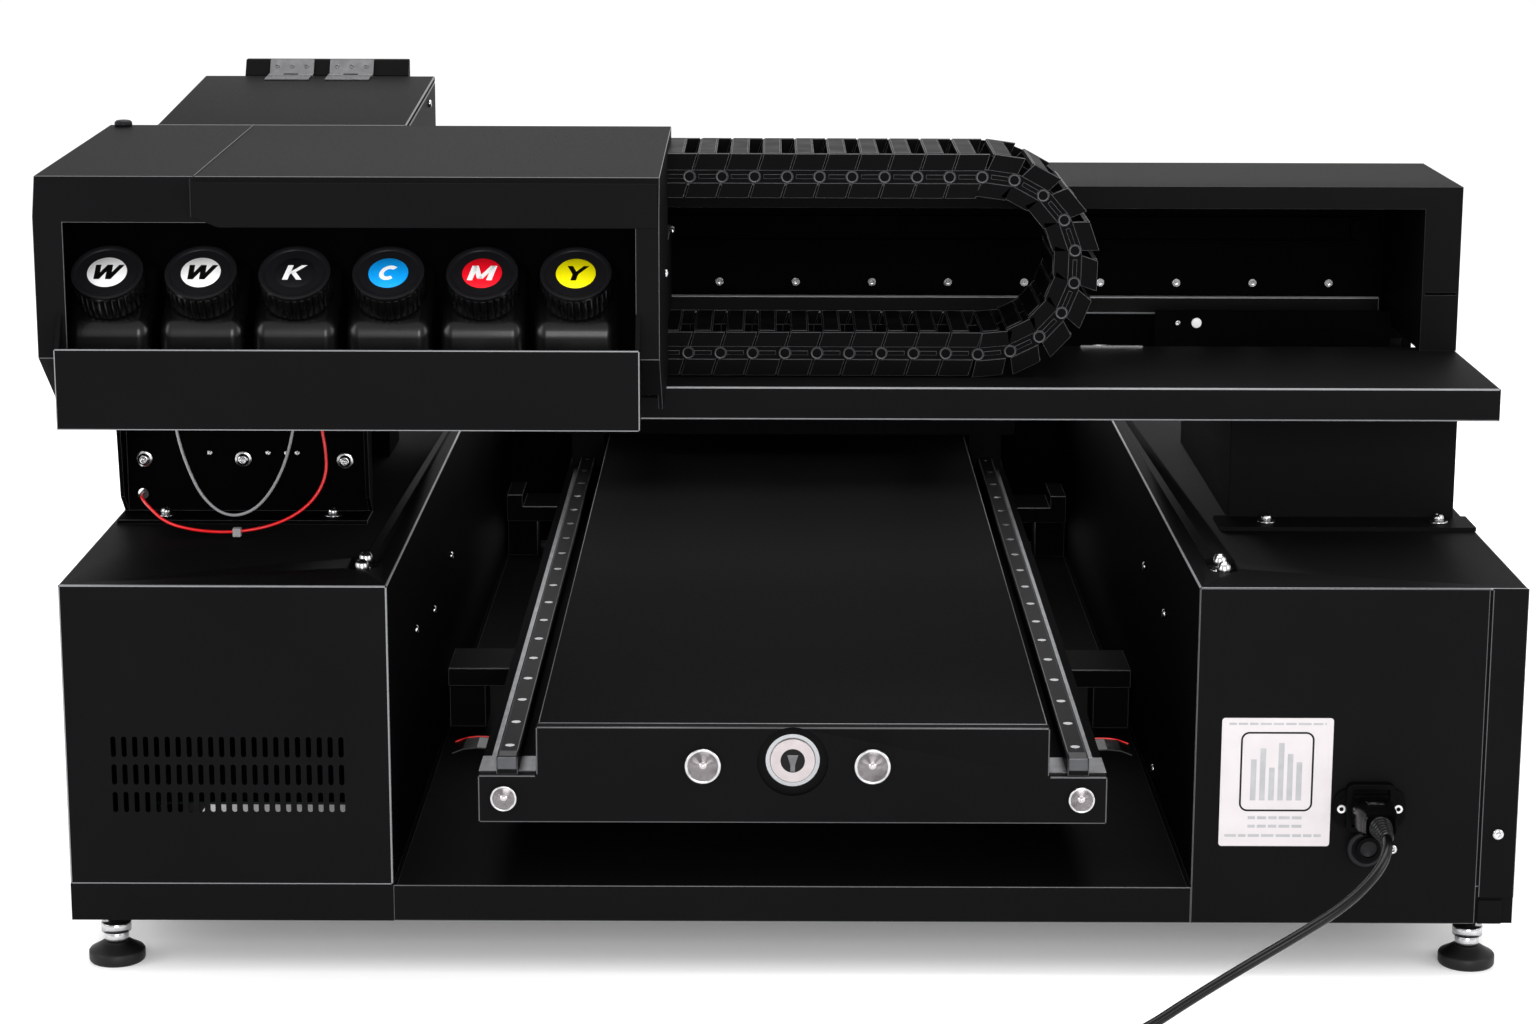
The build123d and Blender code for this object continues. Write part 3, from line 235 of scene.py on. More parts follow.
def latheMesh(name, profile, start, direction, sides=48, ribs=None):
    # profile: (distance along the axis, radius) in mm; ribs: (first row, last row, count, depth mm)
    axis = Vector(direction).normalized()
    across = axis.orthogonal().normalized()
    other = axis.cross(across)
    vertices, faces = [], []
    for row, (distance, radius) in enumerate(profile):
        for i in range(sides):
            turn = 2 * math.pi * i / sides
            r = radius
            if ribs and ribs[0] <= row <= ribs[1]:
                wave = abs(math.sin(turn * ribs[2] / 2))
                r -= ribs[3] * (1 - wave) ** 2
            vertices.append(Vector(start) + axis * distance * mm
                            + (across * math.cos(turn) + other * math.sin(turn)) * r * mm)
    for row in range(len(profile) - 1):
        for i in range(sides):
            a, b = row * sides + i, row * sides + (i + 1) % sides
            faces.append((a, b, b + sides, a + sides))
    faces.append(tuple(range(sides))[::-1])
    faces.append(tuple((len(profile) - 1) * sides + i for i in range(sides)))
    return bodyFromPoints(name, vertices, faces)


def slabMesh(name, outline, toPlace, thick):
    # outline: 2-D points in mm; toPlace(u, v, w) gives the point in metres, w from 0 to thick
    n = len(outline)
    vertices = [toPlace(u, v, 0) for u, v in outline] + [toPlace(u, v, thick) for u, v in outline]
    faces = [tuple(range(n))[::-1], tuple(range(n, 2 * n))]
    faces += [(i, (i + 1) % n, (i + 1) % n + n, i + n) for i in range(n)]
    mesh = bodyFromPoints(name, vertices, faces)
    bm = bmesh.new()
    bm.from_mesh(mesh)
    bmesh.ops.recalc_face_normals(bm, faces=bm.faces)
    bm.to_mesh(mesh)
    bm.free()
    return mesh


def roundedOutline(width, height, radius, steps=5):
    points = []
    for cx, cy, first in ((1, 1, 0), (-1, 1, 90), (-1, -1, 180), (1, -1, 270)):
        for i in range(steps + 1):
            turn = math.radians(first + 90 * i / steps)
            points.append((cx * (width / 2 - radius) + radius * math.cos(turn),
                           cy * (height / 2 - radius) + radius * math.sin(turn)))
    return points


def joinMeshes(name, meshes):
    bm = bmesh.new()
    for mesh in meshes:
        bm.from_mesh(mesh)
    joined = bpy.data.meshes.new(name)
    bm.to_mesh(joined)
    bm.free()
    for mesh in meshes:
        bpy.data.meshes.remove(mesh)
    return joined


def boxMesh(name, low, high):
    low, high = Vector(low), Vector(high)
    outline = [(low.x, low.y), (high.x, low.y), (high.x, high.y), (low.x, high.y)]
    return slabMesh(name, outline, lambda u, v, w: place(u, v, low.z + w), high.z - low.z)


def splineCurve(name, points, radius, resolution=24):
    curve = bpy.data.curves.new(name, "CURVE")
    curve.dimensions = "3D"
    curve.bevel_depth = radius * mm
    curve.bevel_resolution = 6
    curve.use_fill_caps = True
    curve.resolution_u = resolution
    spline = curve.splines.new("NURBS")
    spline.points.add(len(points) - 1)
    for point, where in zip(spline.points, points):
        point.co = (*where, 1.0)
    spline.use_endpoint_u = True
    spline.order_u = 3
    piece = bpy.data.objects.new(name, curve)
    bpy.context.scene.collection.objects.link(piece)
    return piece


# ---- camera, floor and light

cameraSet = dict(lens=78.2, sensor=36.0, down=12.41, yaw=-0.05, roll=0.157, x=-16.2, depth=-2244.4, z=831.1)


def makeCamera():
    data = bpy.data.cameras.new("serviceSide")
    data.lens = cameraSet["lens"]
    data.sensor_width = cameraSet["sensor"]
    data.clip_end = 50
    camera = bpy.data.objects.new("serviceSide", data)
    bpy.context.scene.collection.objects.link(camera)
    camera.location = place(cameraSet["x"], cameraSet["depth"], cameraSet["z"])
    tilt = Matrix.Rotation(math.radians(90 - cameraSet["down"]), 4, "X")
    spin = Matrix.Rotation(math.radians(-cameraSet["yaw"]), 4, "Z")
    roll = Matrix.Rotation(math.radians(cameraSet["roll"]), 4, "Z")
    camera.matrix_world = Matrix.Translation(camera.location) @ spin @ tilt @ roll
    bpy.context.scene.camera = camera


def makeStudio():
    material, tree, shader, where = newMaterial("paleStudioFloor")
    cloud = addNode(tree, "ShaderNodeTexNoise", links={"Vector": where}, Scale=3.0, Detail=2.0)
    tint = addNode(tree, "ShaderNodeMix", {"data_type": "RGBA"}, {"Factor": cloud.outputs["Fac"]})
    tint.inputs[mixFirst].default_value = hexColour("#f7f7f7")
    tint.inputs[mixSecond].default_value = hexColour("#fdfdfd")
    tree.links.new(tint.outputs[mixResult], shader.inputs["Base Color"])
    shader.inputs["Roughness"].default_value = 0.7
    # a little light of its own keeps the floor near white
    shader.inputs["Emission Color"].default_value = hexColour("#ffffff")
    shader.inputs["Emission Strength"].default_value = 0.16
    # one wide level floor, open on every side so that nothing stands before a view from behind
    reach, steps = 16.0, 8
    ticks = [reach * (2 * i / steps - 1) for i in range(steps + 1)]
    vertices = [(x, y, 0.0) for y in ticks for x in ticks]
    row = steps + 1
    faces = [(r * row + c, r * row + c + 1, (r + 1) * row + c + 1, (r + 1) * row + c)
             for r in range(steps) for c in range(steps)]
    mesh = bodyFromPoints("studioFloor", vertices, faces)
    mesh.materials.append(material)
    floor = bpy.data.objects.new("studioFloor", mesh)
    bpy.context.scene.collection.objects.link(floor)
    world = bpy.data.worlds.new("studioAir")
    world.use_nodes = True
    world.node_tree.nodes["Background"].inputs[0].default_value = hexColour("#ffffff")
    world.node_tree.nodes["Background"].inputs[1].default_value = 0.9
    bpy.context.scene.world = world
    lights = [("overhead", (0.0, 0.1, 2.6), (0, 0, 0.3), 2.4, 60),
              ("leftFill", (-2.6, -1.6, 1.5), (0, 0, 0.3), 1.6, 26),
              ("rightFill", (2.6, -1.6, 1.5), (0, 0, 0.3), 1.6, 26),
              ("backEdge", (0, 2.8, 2.2), (0, 0, 0.4), 2.2, 6),
              ("frontFill", (0.3, -4.2, 1.3), (0, -0.6, 0.4), 1.6, 70)]
    for name, where, target, size, power in lights:
        data = bpy.data.lights.new(name, "AREA")
        data.size = size
        data.energy = power
        light = bpy.data.objects.new(name, data)
        light.location = where
        light.rotation_euler = (Vector(target) - Vector(where)).to_track_quat("-Z", "Y").to_euler()
        bpy.context.scene.collection.objects.link(light)
    bpy.context.scene.view_settings.view_transform = "Standard"


makeCamera()
makeStudio()
print("camera and studio placed")


# ---- cords first: the mains lead, then the two thin wires that hang under the gantry

mainsLead = dict(diameter=7.0, coilX=100.0, coilDepth=-200.0, coilRadius=38.5, step=3.7, layer=7.1, turns=5.5,
                 perTurn=16)
mainsRoute = [(405, -70, 126), (404, -86, 124), (395, -101, 112), (372, -113, 93), (340, -121, 75), (304, -129, 56),
              (266, -140, 36), (232, -151, 17), (200, -159, 7), (166, -163, 3.5), (132, -162.5, 3.5)]
greyRoute = [(-459, 181, 379), (-457, 181, 358), (-450, 182, 331), (-439, 182.5, 306), (-421, 181, 292),
             (-400, 180, 297), (-383, 180, 318), (-371, 179, 349), (-366, 178, 379)]
redRoute = [(-492, 230, 300), (-490.5, 213, 301.5), (-486, 192, 304), (-477, 172, 301.5), (-462, 155, 293.5),
            (-440, 146, 290), (-415, 144, 288.8), (-390, 148, 291), (-368, 156, 298), (-352, 163, 311),
            (-344, 168, 328), (-345, 172, 346), (-348, 173.5, 363), (-347.5, 174, 379)]


def coilPoints(lead):
    # turns lie in two columns and three layers, and step to the next place near the end of each turn
    columns = [1, -1, -1, 1, 1, -1]
    layers = [0, 0, 1, 1, 2, 2]
    points = []
    total = int(lead["turns"] * lead["perTurn"])
    for i in range(total + 1):
        turn, part = divmod(i / lead["perTurn"], 1.0)
        turn = int(turn)
        following = min(turn + 1, len(columns) - 1)
        blend = max(0.0, (part - 0.75) / 0.25)
        blend = blend * blend * (3 - 2 * blend)
        column = columns[turn] + (columns[following] - columns[turn]) * blend
        layer = layers[turn] + (layers[following] - layers[turn]) * blend
        if i < 3:
            column = i / 3
        if i > total - 3:
            column = -(total - i) / 3
        radius = lead["coilRadius"] + column * lead["step"]
        angle = math.pi / 2 + 2 * math.pi * i / lead["perTurn"]
        points.append((lead["coilX"] + radius * math.cos(angle), lead["coilDepth"] + radius * math.sin(angle),
                       lead["diameter"] / 2 + layer * lead["layer"]))
    return points


def makeCord(name, route, radius, look, nodes):
    piece = splineCurve(name, [place(*point) for point in route], radius)
    piece.data.materials.append(finish[look])
    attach(piece, "frame")
    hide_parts(*nodes)
    return piece


def makePlug():
    # round two-pin plug: tapered ribbed grip, waisted body, rounded face
    x, depth, z = mainsLead["coilX"], mainsLead["coilDepth"] - mainsLead["coilRadius"], 17.5
    profile = [(22, 4.4), (24, 4.9)]
    for i in range(6):
        profile += [(27 + i * 5, 5.3 + i * 0.55), (29.5 + i * 5, 5.5 + i * 0.55), (29.6 + i * 5, 4.6 + i * 0.55),
                    (31 + i * 5, 4.7 + i * 0.55)]
    profile += [(58.5, 12), (61, 15.8), (64, 17.2), (72, 16.2), (84, 16.4), (91, 17.3), (93.5, 16.6), (94, 15)]
    grip = latheMesh("plugGrip", profile, place(x, depth, z), (1, 0, 0), sides=40)
    plug = showMesh("mainsPlugBody", grip, "frame", "jacket")
    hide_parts("mains_plug")
    pins = []
    for side in (-1, 1):
        pin = [(93, 2.4), (111, 2.4), (112.6, 1.8), (113, 0.6)]
        pins.append(latheMesh("pin", pin, place(x, depth + side * 9.5, z), (1, 0, 0), sides=20))
    pinPiece = showMesh("mainsPlugPins", joinMeshes("pins", pins), "frame", "brass")
    return [plug, pinPiece]


def makeInletPlug():
    # appliance plug: wedge body with a raised shoulder, then a ribbed sleeve that tapers down to the lead
    x, z = 405.0, 126.0
    rings = [(-6.3, 13.6, 9.6), (-12, 14, 10), (-30, 14, 10), (-42, 12.2, 8.6), (-46, 10, 7.6)]
    vertices, faces = [], []
    outline = roundedOutline(2, 2, 0.45, 4)
    for depth, wide, high in rings:
        vertices += [place(x + u * wide, depth, z + v * high) for u, v in outline]
    n = len(outline)
    for row in range(len(rings) - 1):
        for i in range(n):
            faces.append((row * n + i, row * n + (i + 1) % n, (row + 1) * n + (i + 1) % n, (row + 1) * n + i))
    faces.append(tuple(range(n)))
    faces.append(tuple((len(rings) - 1) * n + i for i in range(n))[::-1])
    body = bodyFromPoints("wedge", vertices, faces)
    profile = [(44, 8.2)]
    for i in range(6):
        profile += [(46 + i * 4, 8.0 - i * 0.55), (48.2 + i * 4, 7.9 - i * 0.55), (48.4 + i * 4, 6.6 - i * 0.5),
                    (49.6 + i * 4, 6.5 - i * 0.5)]
    profile += [(70, 4.8), (70.5, 4.0)]
    sleeve = latheMesh("sleeve", profile, place(x, 0, z), (0, -1, 0), sides=36)
    shoulder = slabMesh("shoulder", [(-8, 9), (8, 9), (5.5, 2), (-5.5, 2)],
                        lambda u, v, w: place(x + u, -12 - (9 - v) * 2.2, z + 10 + w), 0.9)
    plug = showMesh("inletPlugBody", joinMeshes("plug", [body, sleeve, shoulder]), "frame", "jacket")
    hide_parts("inlet_plug")
    return plug


mainsCord = makeCord("mainsCord", mainsRoute + coilPoints(mainsLead) + [(112, -238.6, 17.6), (124, -238.5, 17.5)],
                     mainsLead["diameter"] / 2, "jacket", ["mains_cord", "cord_coil"])
greyWire = makeCord("greyWire", greyRoute, 1.1, "greyWire", ["grey_wire"])
redWire = makeCord("redWire", redRoute, 1.1, "redWire", ["red_wire"])
farPlug = makePlug()
nearPlug = makeInletPlug()
print("cords laid")


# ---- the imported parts: which keep their mesh and which get rounded folds

record = frame["record"]
nodeBody = {node: body for body, nodes in record["behaviour"]["bodies"].items() for node in nodes}
worn = {
    "panel": ["base_rails"],
    # parts that sit in shade take the darker inner coat, a painted shade
    "inner": ["bottle_rack", "bed_beam", "capping_station", "drive_pulley", "idler_pulley", "x_belt", "tunnel_screens",
              "table"],
    "chain": ["power_inlet", "data_socket", "y_motor", "x_motor", "power_rocker"],
    "satin": ["uv_lamp"],
    "ground": ["screw_bearings"],
    "rail": ["saddle", "carriage", "rail_blocks"],
    "zinc": ["panel_fasteners", "print_heads"],
    "hinge": ["lid_hinges"],
    "redCap": ["estop_button"],
    "board": ["electronics"],
}
# folded sheet: its coat, the coat on its folds (a lighter coat there is a painted highlight), the round in mm, or 0
# where the fold is already round; the inner coat is painted shade
folded = {
    "ink_hood": ("panel", "softPaintedHighlight", 0.8),
    "gantry_cover": ("panel", "softPaintedHighlight", 0.7),
    "bed_cover": ("bed", "edge", 0.9),
    "base_tray": ("panel", "softPaintedHighlight", 0.6),
    "left_leg": ("inner", "softPaintedHighlight", 0.6),
    "right_leg": ("panel", "softPaintedHighlight", 0.6),
    "garage_box": ("panel", "softPaintedHighlight", 0.6),
    "crossbars": ("panel", "softPaintedHighlight", 0.8),
    "gantry_beam": ("inner", "inner", 0.8),
    "left_pedestal_cover": ("panel", "edge", 0),
    "right_pedestal_cover": ("panel", "edge", 0),
    "service_plate": ("panel", "softPaintedHighlight", 0),
    "gantry_shelf": ("panel", "edge", 0),
    "apron_panel": ("panel", "edge", 0),
    "garage_lid": ("panel", "softPaintedHighlight", 0),
    "end_plate": ("panel", "softPaintedHighlight", 0),
    "y_rails": ("rail", "softPaintedHighlight", 0.5),
    "x_rail": ("rail", "edge", 0.7),
}

for look, nodes in worn.items():
    for node in nodes:
        for holder in frame["nodes"][node].material_slots:
            holder.material = finish[look]


# a slanted face narrower than narrow is a rolled fold, and one longer than longFold takes a painted highlight; a
# pedestal wall that faces inward within tunnelReach of the middle takes a painted shade, the dark inner coat
foldSet = dict(slanted=0.9986, narrow=5 * mm, longFold=30 * mm, inward=0.9, tunnelReach=0.3)


def softened(node, look, foldLook, width):
    # the same sheet, whose folds take a brighter coat, a painted highlight for the thin line of light they catch, and
    # whose inward pedestal walls take a painted shade
    mesh = frame["nodes"][node].data.copy()
    bm = bmesh.new()
    bm.from_mesh(mesh)
    bmesh.ops.remove_doubles(bm, verts=bm.verts, dist=1e-5)
    bmesh.ops.dissolve_limit(bm, angle_limit=math.radians(1), verts=bm.verts, edges=bm.edges)
    bm.to_mesh(mesh)
    bm.free()
    piece = showMesh(node + "_folded", mesh, nodeBody[node], look)
    mesh.materials.append(finish[foldLook])
    mesh.materials.append(finish["inner"])
    for face in mesh.polygons:
        # sheet stays flat shaded, so only the rolled folds between blend
        longest = max((mesh.vertices[a].co - mesh.vertices[b].co).length for a, b in face.edge_keys)
        slanted = max(abs(value) for value in face.normal) < foldSet["slanted"]
        rolled = slanted and face.area < longest * foldSet["narrow"]
        face.use_smooth = rolled
        off = abs(face.center.x)
        inward = face.normal.x * face.center.x < -foldSet["inward"] * off
        # long rolled folds take the painted highlight coat; inward pedestal walls near the middle take the inner coat
        # as painted shade
        if rolled and not width and longest > foldSet["longFold"]:
            face.material_index = 1
        elif "pedestal" in node and inward and off < foldSet["tunnelReach"]:
            face.material_index = 2
    mesh.set_sharp_from_angle(angle=math.radians(40))
    if width:
        bevelled(piece, width).modifiers["edgeRound"].material = 1
    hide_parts(node)
    return piece


for node, (look, foldLook, width) in folded.items():
    softened(node, look, foldLook, width)
print("packed parts dressed")


# ---- small hardware, made once and set in place many times

def screwMesh(where, direction, radius, height=2.4, washer=0.0):
    # pan head with a socket, and a flat washer where one is fitted
    out = Vector(direction).normalized()
    base = place(*where)
    parts = []
    if washer:
        rim = [(0, washer), (0.9, washer), (1.2, washer - 0.4), (1.2, radius * 0.7)]
        parts.append(latheMesh("washer", rim, base, out, sides=28))
        base = base + out * 1.2 * mm
    head = [(0, radius * 0.94), (height * 0.35, radius), (height * 0.75, radius * 0.9), (height, radius * 0.62),
            (height, radius * 0.46), (height * 0.45, radius * 0.42)]
    parts.append(latheMesh("head", head, base, out, sides=24))
    return parts


def hardware(name, places):
    meshes = []
    for where, direction, radius, height, washer in places:
        meshes += screwMesh(where, direction, radius, height, washer)
    showMesh(name, joinMeshes(name, meshes), "frame", "zinc")


hardware("inletScrews", [((x, -0.2, z), (0, -1, 0), 3.7, 2.2, 0)
                         for x, z in ((384, 126), (426, 126), (422.5, 95.4))])
hardware("sideColumnScrew", [((496.6, -0.2, 106.7), (0, -1, 0), 4.2, 2.4, 0)])
hardware("innerWallScrews", [((-281.8, y, z), (1, 0, 0), 3.6, 2.6, 0)
                             for y, z in ((451, 200), (306, 190), (174, 208))]
         + [((281.8, y, z), (-1, 0, 0), 3.6, 2.6, 0) for y, z in ((332, 221), (194, 217), (238, 82))])
hardware("leftLegScrews", [((x, 227.8, z), (0, -1, 0), 4.6, 3.2, 6.4)
                           for x, z in ((-490, 327), (-415, 327), (-338, 326))]
         + [((x, 227.8, 332), (0, -1, 0), 2.4, 2.0, 0) for x in (-440, -396, -382, -374)])
hardware("legFlangeStuds", [((x, y, 287), (0, 0, 1), 4.2, 5.0, 7.0)
                            for x, y in ((-472, 211), (-346, 211), (356, 199), (485, 199))])
hardware("recessStuds", [((side * 306, y, 278), (0, 0, 1), 5.2, 9.5, 10.5)
                         for side in (-1, 1) for y in (58, 82)])
hardware("hoodScrews", [((-90.8, y, z), (1, 0, 0), 3.2, 2.4, 0) for y, z in ((233, 501), (79, 491))])
hardware("garageScrews", [((-291.8, y, z), (1, 0, 0), 3.2, 2.4, 0) for y, z in ((288, 560), (444, 575))])


# ---- caps with their colour letters

capSet = dict(first=-468.0, pitch=63.8, depth=5.0, z=502.5, tilt=39.0, radius=24.8, ribs=30, disc=13.6)
letters = [("W", "white", "ink"), ("W", "white", "ink"), ("K", "cap", "white"), ("C", "cyan", "white"),
           ("M", "magenta", "white"), ("Y", "yellow", "ink")]


strokes = {
    "W": [(-0.60, 1, -0.38, 0), (-0.38, 0, 0.0, 1), (0.0, 1, 0.22, 0), (0.22, 0, 0.60, 1)],
    "K": [(-0.34, 0, -0.34, 1), (-0.20, 0.42, 0.36, 1), (-0.10, 0.55, 0.38, 0)],
    "M": [(-0.50, 0, -0.50, 1), (-0.46, 1, 0.0, 0.1), (0.0, 0.1, 0.46, 1), (0.50, 0, 0.50, 1)],
    "Y": [(0.0, 0, 0.0, 0.5), (-0.42, 1, 0.0, 0.42), (0.42, 1, 0.0, 0.42)],
}


def letterMesh(text, high, wide=0.28, lean=0.24, thick=0.14):
    # heavy slanted capitals cut from straight strokes, and from part of a ring for the round one
    def spot(u, v, w):
        return Vector(((u + lean * (v - 0.5)) * high * mm, (v - 0.5) * high * mm, w * mm))

    if text != "C":
        shapes = [[(x0 - wide / 2, y0), (x0 + wide / 2, y0), (x1 + wide / 2, y1), (x1 - wide / 2, y1)]
                  for x0, y0, x1, y1 in strokes[text]]
        return joinMeshes("letter", [slabMesh("stroke", shape, spot, thick) for shape in shapes])
    turns = [math.radians(48 + (312 - 48) * i / 22) for i in range(23)]
    outer = [(0.47 * math.cos(t) + 0.02, 0.5 + 0.5 * math.sin(t)) for t in turns]
    inner = [(0.24 * math.cos(t) + 0.02, 0.5 + 0.27 * math.sin(t)) for t in turns]
    return joinMeshes("letter", [slabMesh("arc", [outer[i], outer[i + 1], inner[i + 1], inner[i]], spot, thick)
                                 for i in range(22)])


def makeCap(number, text, discLook, letterLook):
    body = f"ink_cap_{number}"
    tilt = math.radians(capSet["tilt"])
    out = Vector((0, -math.sin(tilt), math.cos(tilt)))
    up = Vector((0, math.cos(tilt), math.sin(tilt)))
    centre = place(capSet["first"] + (number - 1) * capSet["pitch"], capSet["depth"], capSet["z"])
    r = capSet["radius"]
    profile = [(1.1, 0.5), (1.1, r - 4.4), (0.5, r - 3.8), (0.1, r - 2.6), (0, r - 1.4), (0.5, r - 0.4), (1.6, r),
               (3.0, r), (3.4, r - 0.35), (3.5, r - 0.2), (4.2, r), (20.4, r), (21.2, r - 0.3), (22, r - 1.2),
               (22, 17.4)]
    cap = latheMesh("cap", profile, centre, -out, sides=240, ribs=(9, 12, capSet["ribs"], 1.5))
    cap = showMesh(f"inkCap{number}", cap, body, "capSide")
    cap.data.set_sharp_from_angle(angle=math.radians(32))
    cap.data.materials.append(finish["cap"])
    for face in cap.data.polygons:
        face.material_index = 1 if face.normal.dot(out) > 0.5 else 0
    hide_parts(body)
    disc = latheMesh("disc", [(-1.05, capSet["disc"]), (-0.85, capSet["disc"] - 0.2), (-0.85, 0.3)], centre, out,
                     sides=64)
    showMesh(f"inkDisc{number}", disc, body, discLook)
    mesh = letterMesh(text, 13.2)
    turn = Matrix((Vector((1, 0, 0)), up, out)).transposed().to_4x4()
    mesh.transform(Matrix.Translation(centre - out * 0.8 * mm) @ turn)
    showMesh(f"inkLetter{number}", mesh, body, letterLook, smooth=False)


for number, (text, discLook, letterLook) in enumerate(letters, start=1):
    makeCap(number, text, discLook, letterLook)


def makeTanks():
    # glossy square tanks whose big soft corners carry the highlights, each with a sloped top under its cap
    tanks = []
    outline = [(-3, 405.2), (-3, 466.4), (42, 502.9), (60, 502.9), (60, 405.2)]
    for i in range(6):
        x = capSet["first"] + i * capSet["pitch"]
        tanks.append(slabMesh("tank", outline, lambda u, v, w: place(x - 29 + w, u, v), 58))
    piece = showMesh("inkTanks", joinMeshes("inkTanks", tanks), "frame", "gloss")
    bevelled(piece, 9.0, segments=6, angle=20)
    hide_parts("ink_bottles")


makeTanks()
print("ink caps and tanks made")


# ---- cable chain: a rigid lower run and bend, and an upper run, the part taken up as the carriage crosses, on a mesh of its own

chainSet = dict(pitch=23.5, near=160.0, far=268.0, bendX=140.0, radius=64.5, low=421.0, upperLeft=-330.0,
                lowerLeft=-430.0, lean=0.32, outer=16.6, inner=15.4, band=4.6, barHalf=6.8)


def chainLink(x, z, turn):
    c = chainSet
    along = Vector((math.cos(turn), 0, math.sin(turn)))
    up = Vector((-math.sin(turn), 0, math.cos(turn)))
    half = c["pitch"] / 2

    def spot(u, v, depth):
        return place(x, depth, z) + (along * u + up * v) * mm

    meshes = []
    for face, inward in ((c["near"], 1), (c["far"], -1)):
        for low, high in ((-c["outer"], -c["band"]), (c["band"], c["inner"])):
            outline = [(-half + 0.7 + low * c["lean"], low), (half - 0.7 + low * c["lean"], low),
                       (half - 0.7 + high * c["lean"], high), (-half + 0.7 + high * c["lean"], high)]
            meshes.append(slabMesh("plate", outline, lambda u, v, w: spot(u, v, face + inward * w), 4.4))
        band = [(-half, -c["band"]), (half, -c["band"]), (half, c["band"]), (-half, c["band"])]
        meshes.append(slabMesh("band", band, lambda u, v, w: spot(u, v, face + inward * (1.4 + w)), 3.0))
        stripe = [(-half + 5.5, -1.6), (half - 5.5, -1.6), (half - 5.5, 1.6), (-half + 5.5, 1.6)]
        meshes.append(slabMesh("stripe", stripe, lambda u, v, w: spot(u, v, face + inward * (0.8 + w)), 0.8))
        ring = [(-1.4, 4.7), (0.3, 4.7), (0.5, 4.4), (0.5, 3.9), (0.0, 3.6), (0.0, 0.4)]
        meshes.append(latheMesh("pivot", ring, spot(-half + 1.0, 0, face), (0, -inward, 0), sides=24))
    for level, side in ((c["inner"] - 3.2, 1), (-c["outer"] + 0.2, -1)):
        bar = [(-c["barHalf"], 0), (c["barHalf"], 0), (c["barHalf"], 3.0), (-c["barHalf"], 3.0)]
        meshes.append(slabMesh("bar", bar, lambda u, v, w: spot(u, level + v, c["near"] + 4.2 + w),
                               c["far"] - c["near"] - 8.4))
        lift = level + (3.0 if side > 0 else -0.5)
        reach = c["barHalf"] - 1.2
        edge = [(-reach, 0), (reach, 0), (reach, 0.5), (-reach, 0.5)]
        meshes.append(slabMesh("pad", edge, lambda u, v, w: spot(u, lift + v, c["near"] + 7 + w),
                               c["far"] - c["near"] - 14))
    return meshes


def makeChain():
    c = chainSet
    middle = c["low"] + c["radius"]
    lower = c["bendX"] - c["lowerLeft"]
    bend = math.pi * c["radius"]
    total = lower + bend + c["bendX"] - c["upperLeft"]
    runs = {"chainLower": [], "chainBend": [], "chainUpper": []}
    travel = c["pitch"] / 2
    while travel < total:
        if travel < lower:
            runs["chainLower"] += chainLink(c["lowerLeft"] + travel, c["low"], 0.0)
        elif travel < lower + bend:
            turn = (travel - lower) / c["radius"]
            runs["chainBend"] += chainLink(c["bendX"] + c["radius"] * math.sin(turn),
                                           middle - c["radius"] * math.cos(turn), turn)
        else:
            runs["chainUpper"] += chainLink(c["bendX"] - (travel - lower - bend), middle + c["radius"], math.pi)
        travel += c["pitch"]
    # a dark sheet behind the far side plates, which closes the gaps between the links against the light, so the gaps
    # show painted shade
    def shadeWeb(u, v, w):
        return place(u, c["far"] - 1.2 + w, v)

    top = middle + c["radius"]
    low, high = top - 4, top + c["outer"] - 0.8
    straight = [(c["upperLeft"], low), (c["bendX"], low), (c["bendX"], high), (c["upperLeft"], high)]
    runs["chainUpper"].append(slabMesh("shadeWeb", straight, shadeWeb, 0.8))
    turns = [math.pi * (0.3 + 0.7 * i / 14) for i in range(15)]
    rims = [[(c["bendX"] + r * math.sin(t), middle - r * math.cos(t)) for t in turns]
            for r in (c["radius"] - 4, c["radius"] + c["outer"] - 0.8)]
    runs["chainBend"] += [slabMesh("shadeWeb", [rims[0][i], rims[0][i + 1], rims[1][i + 1], rims[1][i]], shadeWeb, 0.8)
                          for i in range(14)]
    for name, meshes in runs.items():
        piece = showMesh(name, joinMeshes(name, meshes), "cable_chain", "chain")
        # the bevels of the links take a lighter plastic, a painted highlight
        piece.data.materials.append(finish["chainPaintedHighlight"])
        piece.data.set_sharp_from_angle(angle=math.radians(30))
        bevelled(piece, 0.4, segments=1, angle=50).modifiers["edgeRound"].material = 1
        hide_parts("cable_chain")
        if name == "chainUpper":
            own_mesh(piece)


makeChain()
print("cable chain made")


# ---- service face: rating plate, inlet, round socket

def panelSlab(name, x0, x1, z0, z1, radius, depth, thick, look, cut=0.0):
    # flat plate on the service face, standing out by its thickness; cut leaves only a border of that width
    outline = [(u + (x0 + x1) / 2, v + (z0 + z1) / 2) for u, v in roundedOutline(x1 - x0, z1 - z0, radius, 8)]
    if not cut:
        mesh = slabMesh(name, outline, lambda u, v, w: place(u, depth - w, v), thick)
    else:
        hole = [(u + (x0 + x1) / 2, v + (z0 + z1) / 2)
                for u, v in roundedOutline(x1 - x0 - 2 * cut, z1 - z0 - 2 * cut, max(radius - cut, 0.3), 8)]
        n = len(outline)
        rings = [(outline, 0), (outline, thick), (hole, thick), (hole, 0)]
        vertices = [place(u, depth - w, v) for ring, w in rings for u, v in ring]
        faces = [(r * n + i, r * n + (i + 1) % n, ((r + 1) % 4) * n + (i + 1) % n, ((r + 1) % 4) * n + i)
                 for r in range(4) for i in range(n)]
        mesh = bodyFromPoints(name, vertices, faces)
    return showMesh(name, mesh, "frame", look, smooth=False)


